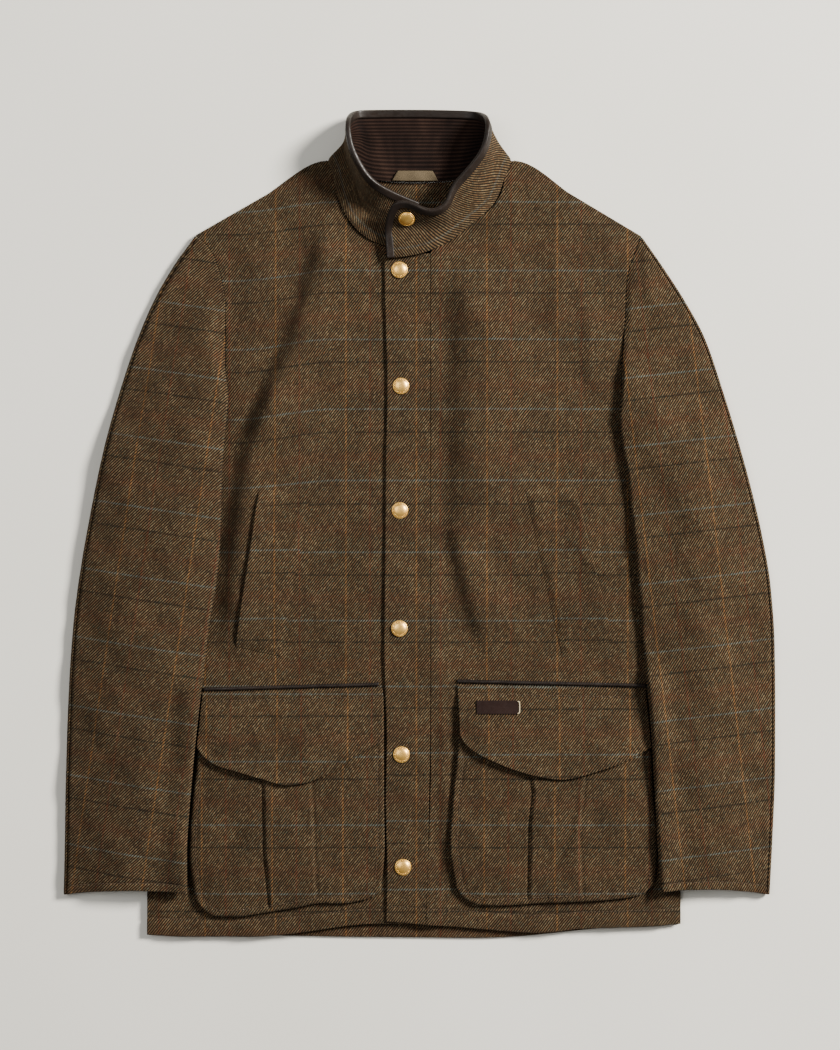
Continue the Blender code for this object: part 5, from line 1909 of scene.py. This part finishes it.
def tweed_material(name, stripes, gap_shade):
    """Woollen twill in heathered browns with a fine overcheck, and painted shade in the gaps between its yarns.
    """
    recipe = Recipe(name, ROUGHNESS["tweed"])
    cloth = recipe.cloth()
    u, v, _ = recipe.split(cloth)
    # The twill's lines, with a slight wobble
    slow = recipe.math("SUBTRACT", recipe.noise(cloth, *TWEED_NOISES["slow"]), 0.5)
    quick = recipe.math("SUBTRACT", recipe.noise(cloth, *TWEED_NOISES["quick"]), 0.5)
    wobble = recipe.math("MULTIPLY_ADD", quick, WOBBLE_QUICK, recipe.math("MULTIPLY", slow, WOBBLE_SLOW))
    across = recipe.math("MULTIPLY_ADD", u, TWILL_ACROSS[0], recipe.math("MULTIPLY", v, TWILL_ACROSS[1]))
    along = recipe.math("MULTIPLY_ADD", u, TWILL_ALONG[0], recipe.math("MULTIPLY", v, TWILL_ALONG[1]))
    rib = recipe.math("ADD", recipe.math("DIVIDE", across, TWILL_PITCH), wobble)
    wave = recipe.math("SINE", recipe.math("MULTIPLY", rib, 2.0 * math.pi))
    ridge = recipe.math("MULTIPLY_ADD", wave, 0.5, 0.5)
    # Each float of yarn along a line has its own brown, and some are flecked
    line = recipe.math("FLOOR", recipe.math("ADD", rib, RIB_SHIFT))
    float_place = recipe.math("MULTIPLY_ADD", line, FLOAT_OFFSET, recipe.math("DIVIDE", along, FLOAT_LENGTH))
    cell = recipe.combine(line, recipe.math("FLOOR", float_place), 0.0)
    luck = recipe.random(cell)
    second = recipe.random(recipe.vector("ADD", cell, FLECK_SEED))
    flecked = recipe.noise(cloth, *TWEED_NOISES["fleck"])
    heather = recipe.ramp(luck, TWEED_YARNS)
    fleck = recipe.ramp(second, TWEED_FLECKS)
    colour = recipe.mix(recipe.between(flecked, *FLECK_SHOWS), heather, fleck)
    # The low places between the floats and at their ends are painted in shade, and the stripes show less there
    ends = recipe.math("PINGPONG", float_place, 0.5)
    body = recipe.math("MULTIPLY", ridge, recipe.between(ends, 0.0, FLOAT_END, FLOAT_END_HEIGHT, 1.0))
    colour = recipe.mix(recipe.between(body, *GAP_SHADE_HEIGHTS), srgb(*gap_shade), colour)
    over = recipe.between(body, *GAP_SHADE_HEIGHTS, STRIPE_IN_GAP_SHADE, 1.0)
    over = recipe.math("MULTIPLY", over, recipe.between(second, *STRIPE_ON_YARNS))
    # The stripes of the check, drawn over the yarns
    for axis, period, centre, half, soft, tone, strength in stripes:
        value = u if axis == "u" else v
        drawn = recipe.math("ADD", value, recipe.math("MULTIPLY", quick, STRIPE_WOBBLE))
        mask = stripe(recipe, drawn, period, centre, half, soft)
        mask = recipe.math("MULTIPLY", recipe.math("MULTIPLY", mask, over), strength)
        colour = recipe.mix(mask, colour, srgb(*tone))
    # Uneven yarns both ways, and cloudy patches
    warp = recipe.math("FLOOR", recipe.math("DIVIDE", u, YARN_PITCH))
    warp = recipe.random(recipe.combine(warp, WARP_SEED))
    weft = recipe.math("FLOOR", recipe.math("DIVIDE", v, YARN_PITCH))
    weft = recipe.random(recipe.combine(WEFT_SEED, weft))
    streak = recipe.math("MULTIPLY_ADD", recipe.math("ADD", warp, weft), STREAK, STREAK_BASE)
    cloudy = recipe.between(recipe.noise(cloth, *TWEED_NOISES["cloud"]), *NOISE_SPAN, *CLOUD_SHADES)
    shade = recipe.math("MULTIPLY", streak, cloudy)
    colour = recipe.mix(1.0, colour, recipe.combine(shade, shade, shade), "MULTIPLY")
    fuzz = recipe.noise(cloth, *TWEED_NOISES["fuzz"])
    height = recipe.math("MULTIPLY_ADD", fuzz, FUZZ_HEIGHT, body)
    recipe.surface(*SURFACES["tweed"])
    return recipe.finish(colour, recipe.bump(height, BUMPS["tweed"]))


def corduroy_material():
    recipe = Recipe("corduroy", ROUGHNESS["corduroy"])
    cloth = recipe.cloth()
    _, v, _ = recipe.split(cloth)
    # The wales are painted lighter on their tops and darker in the grooves between them: painted shade
    phase = recipe.math("MULTIPLY", recipe.math("DIVIDE", v, WALE_PITCH), 2.0 * math.pi)
    wale = recipe.math("MULTIPLY_ADD", recipe.math("COSINE", phase), 0.5, 0.5)
    pile = recipe.noise(recipe.vector("MULTIPLY", cloth, PILE_STRETCH), *CORDUROY_NOISES["pile"])
    # Lighter and darker patches: wear, and a painted sheen on the pile
    worn = recipe.noise(recipe.vector("MULTIPLY", cloth, WORN_AND_SHEEN_STRETCH), *CORDUROY_NOISES["worn"])
    tone = recipe.math("MULTIPLY_ADD", pile, PILE_SHARE, recipe.math("MULTIPLY", wale, WALE_SHADE_SHARE))
    worn = recipe.math("MULTIPLY", recipe.math("SUBTRACT", worn, WORN_AND_SHEEN_MIDDLE), WORN_AND_SHEEN_SHARE)
    tone = recipe.math("ADD", tone, worn)
    colour = recipe.ramp(tone, CORDUROY_TONES)
    recipe.surface(*SURFACES["corduroy"])
    return recipe.finish(colour, recipe.bump(pile, BUMPS["corduroy"]))


def leather_material(name, tones, roughness, gloss):
    recipe = Recipe(name, roughness)
    place = recipe.place()
    grain = recipe.noise(place, *LEATHER_NOISES["grain"])
    creases = recipe.noise(place, *LEATHER_NOISES["creases"])
    worn = recipe.noise(place, *LEATHER_NOISES["worn"])
    worn = recipe.math("MULTIPLY", worn, LEATHER_WORN)
    tone = recipe.math("MULTIPLY_ADD", grain, LEATHER_GRAIN, worn)
    colour = recipe.ramp(tone, tones)
    ends = (roughness - CREASE_SMOOTHER, roughness + CREASE_ROUGHER)
    rough = recipe.between(creases, *NOISE_SPAN, *ends)
    height = recipe.math("ADD", recipe.math("MULTIPLY", grain, 0.5), creases)
    recipe.surface(gloss)
    return recipe.finish(colour, recipe.bump(height, BUMPS["leather"]), rough)


def ribbon_material():
    recipe = Recipe("ribbon", ROUGHNESS["ribbon"])
    cloth = recipe.cloth()
    u, v, _ = recipe.split(cloth)
    along, across = (recipe.math("SINE", recipe.math("MULTIPLY", value, 2.0 * math.pi / pitch))
                     for value, pitch in zip((u, v), RIBBON_PITCHES))
    # The weave is painted lighter on its raised threads and darker between them: painted shade, mixed with
    # random tone from the fine noise
    weave = recipe.math("MULTIPLY_ADD", recipe.math("MULTIPLY", along, across), 0.5, 0.5)
    fine = recipe.noise(cloth, *RIBBON_NOISE)
    tone = recipe.math("MULTIPLY_ADD", weave, 0.5, recipe.math("MULTIPLY", fine, 0.5))
    colour = recipe.ramp(tone, RIBBON_TONES)
    return recipe.finish(colour, recipe.bump(weave, BUMPS["ribbon"]))


def brass_material():
    recipe = Recipe("brass", ROUGHNESS["brass"], BRASS_METALLIC)
    place = recipe.place()
    tarnish = recipe.noise(place, *BRASS_NOISES["tarnish"])
    fine = recipe.noise(place, *BRASS_NOISES["fine"])
    colour = recipe.ramp(tarnish, BRASS_TONES)
    rough = recipe.between(fine, *NOISE_SPAN, *BRASS_ROUGH)
    return recipe.finish(colour, recipe.bump(fine, BUMPS["brass"]), rough)


def thread_material(name, colour):
    recipe = Recipe(name, ROUGHNESS["thread"])
    strands = recipe.noise(recipe.place(), *THREAD_NOISE)
    dark = tuple(channel * THREAD_SHADE for channel in srgb(*colour)[:3])
    tone = recipe.ramp(strands, tuple(zip(NOISE_SPAN, ((*dark, 1.0), srgb(*colour)))))
    return recipe.finish(tone, recipe.bump(strands, BUMPS["thread"]))


def floor_material():
    recipe = Recipe("floor", ROUGHNESS["floor"])
    paper = recipe.noise(recipe.place(), *PAPER_NOISE)
    recipe.surface(*SURFACES["floor"])
    tones = (srgb(*FLOOR_LOW), srgb(*FLOOR_HIGH))
    return recipe.finish(recipe.ramp(paper, tuple(zip(NOISE_SPAN, tones))))


# Floor, lights and camera
def make_floor():
    mesh = bpy.data.meshes.new("floor")
    turns = ((-1.0, -1.0), (1.0, -1.0), (1.0, 1.0), (-1.0, 1.0))
    corners = [(x * FLOOR_REACH, y * FLOOR_REACH, FLOOR_HEIGHT) for x, y in turns]
    mesh.from_pydata(corners, [], [(0, 1, 2, 3)])
    mesh.materials.append(floor_material())
    floor = bpy.data.objects.new("floor", mesh)
    bpy.context.scene.collection.objects.link(floor)


def make_light(name, place, size, power, colour):
    data = bpy.data.lights.new(name, "AREA")
    data.shape = "DISK"
    data.size = size
    data.energy = power
    data.color = colour
    light = bpy.data.objects.new(name, data)
    light.location = place
    light.rotation_euler = (-Vector(place)).to_track_quat("-Z", "Y").to_euler()
    bpy.context.scene.collection.objects.link(light)


def make_world():
    world = bpy.data.worlds.new("studio")
    world.use_nodes = True
    background = world.node_tree.nodes["Background"]
    background.inputs["Color"].default_value = (*WORLD_COLOUR, 1.0)
    background.inputs["Strength"].default_value = WORLD_STRENGTH
    bpy.context.scene.world = world


def make_camera():
    data = bpy.data.cameras.new("camera")
    data.sensor_width = SENSOR
    data.sensor_fit = "AUTO"
    data.lens = SENSOR * CAMERA_HEIGHT / FRAME_LENGTH
    camera = bpy.data.objects.new("camera", data)
    camera.location = (CAMERA_X, CAMERA_Y, CAMERA_HEIGHT)
    bpy.context.scene.collection.objects.link(camera)
    bpy.context.scene.camera = camera


def main():
    for old in [item for item in bpy.data.objects if item.type in ("LIGHT", "CAMERA")]:
        bpy.data.objects.remove(old, do_unlink=True)
    tweed = tweed_material("tweed_cloth", STRIPES, TWEED_GAP_SHADE)
    collar_tweed = tweed_material("tweed_collar", COLLAR_STRIPES, COLLAR_GAP_SHADE)
    leather, label_leather = (leather_material(name, *row) for name, row in LEATHERS.items())
    brass = brass_material()
    thread = thread_material("thread_brown", STITCH_COLOUR)
    make_back(tweed)
    make_placket(tweed, thread)
    for side in SIDES:
        make_front(side, tweed, thread)
        make_pocket(side, tweed, thread)
        make_flap(side, tweed, thread)
        make_trim(side, leather)
        make_welt(side, tweed)
        make_sleeve(side, tweed, thread)
    collar = make_collar(collar_tweed, corduroy_material(), leather, ribbon_material())
    make_studs(collar, brass)
    make_label(label_leather, thread_material("thread_pale", LABEL_THREAD_COLOUR))
    make_floor()
    make_world()
    for light in LIGHTS:
        make_light(*light)
    make_camera()


main()
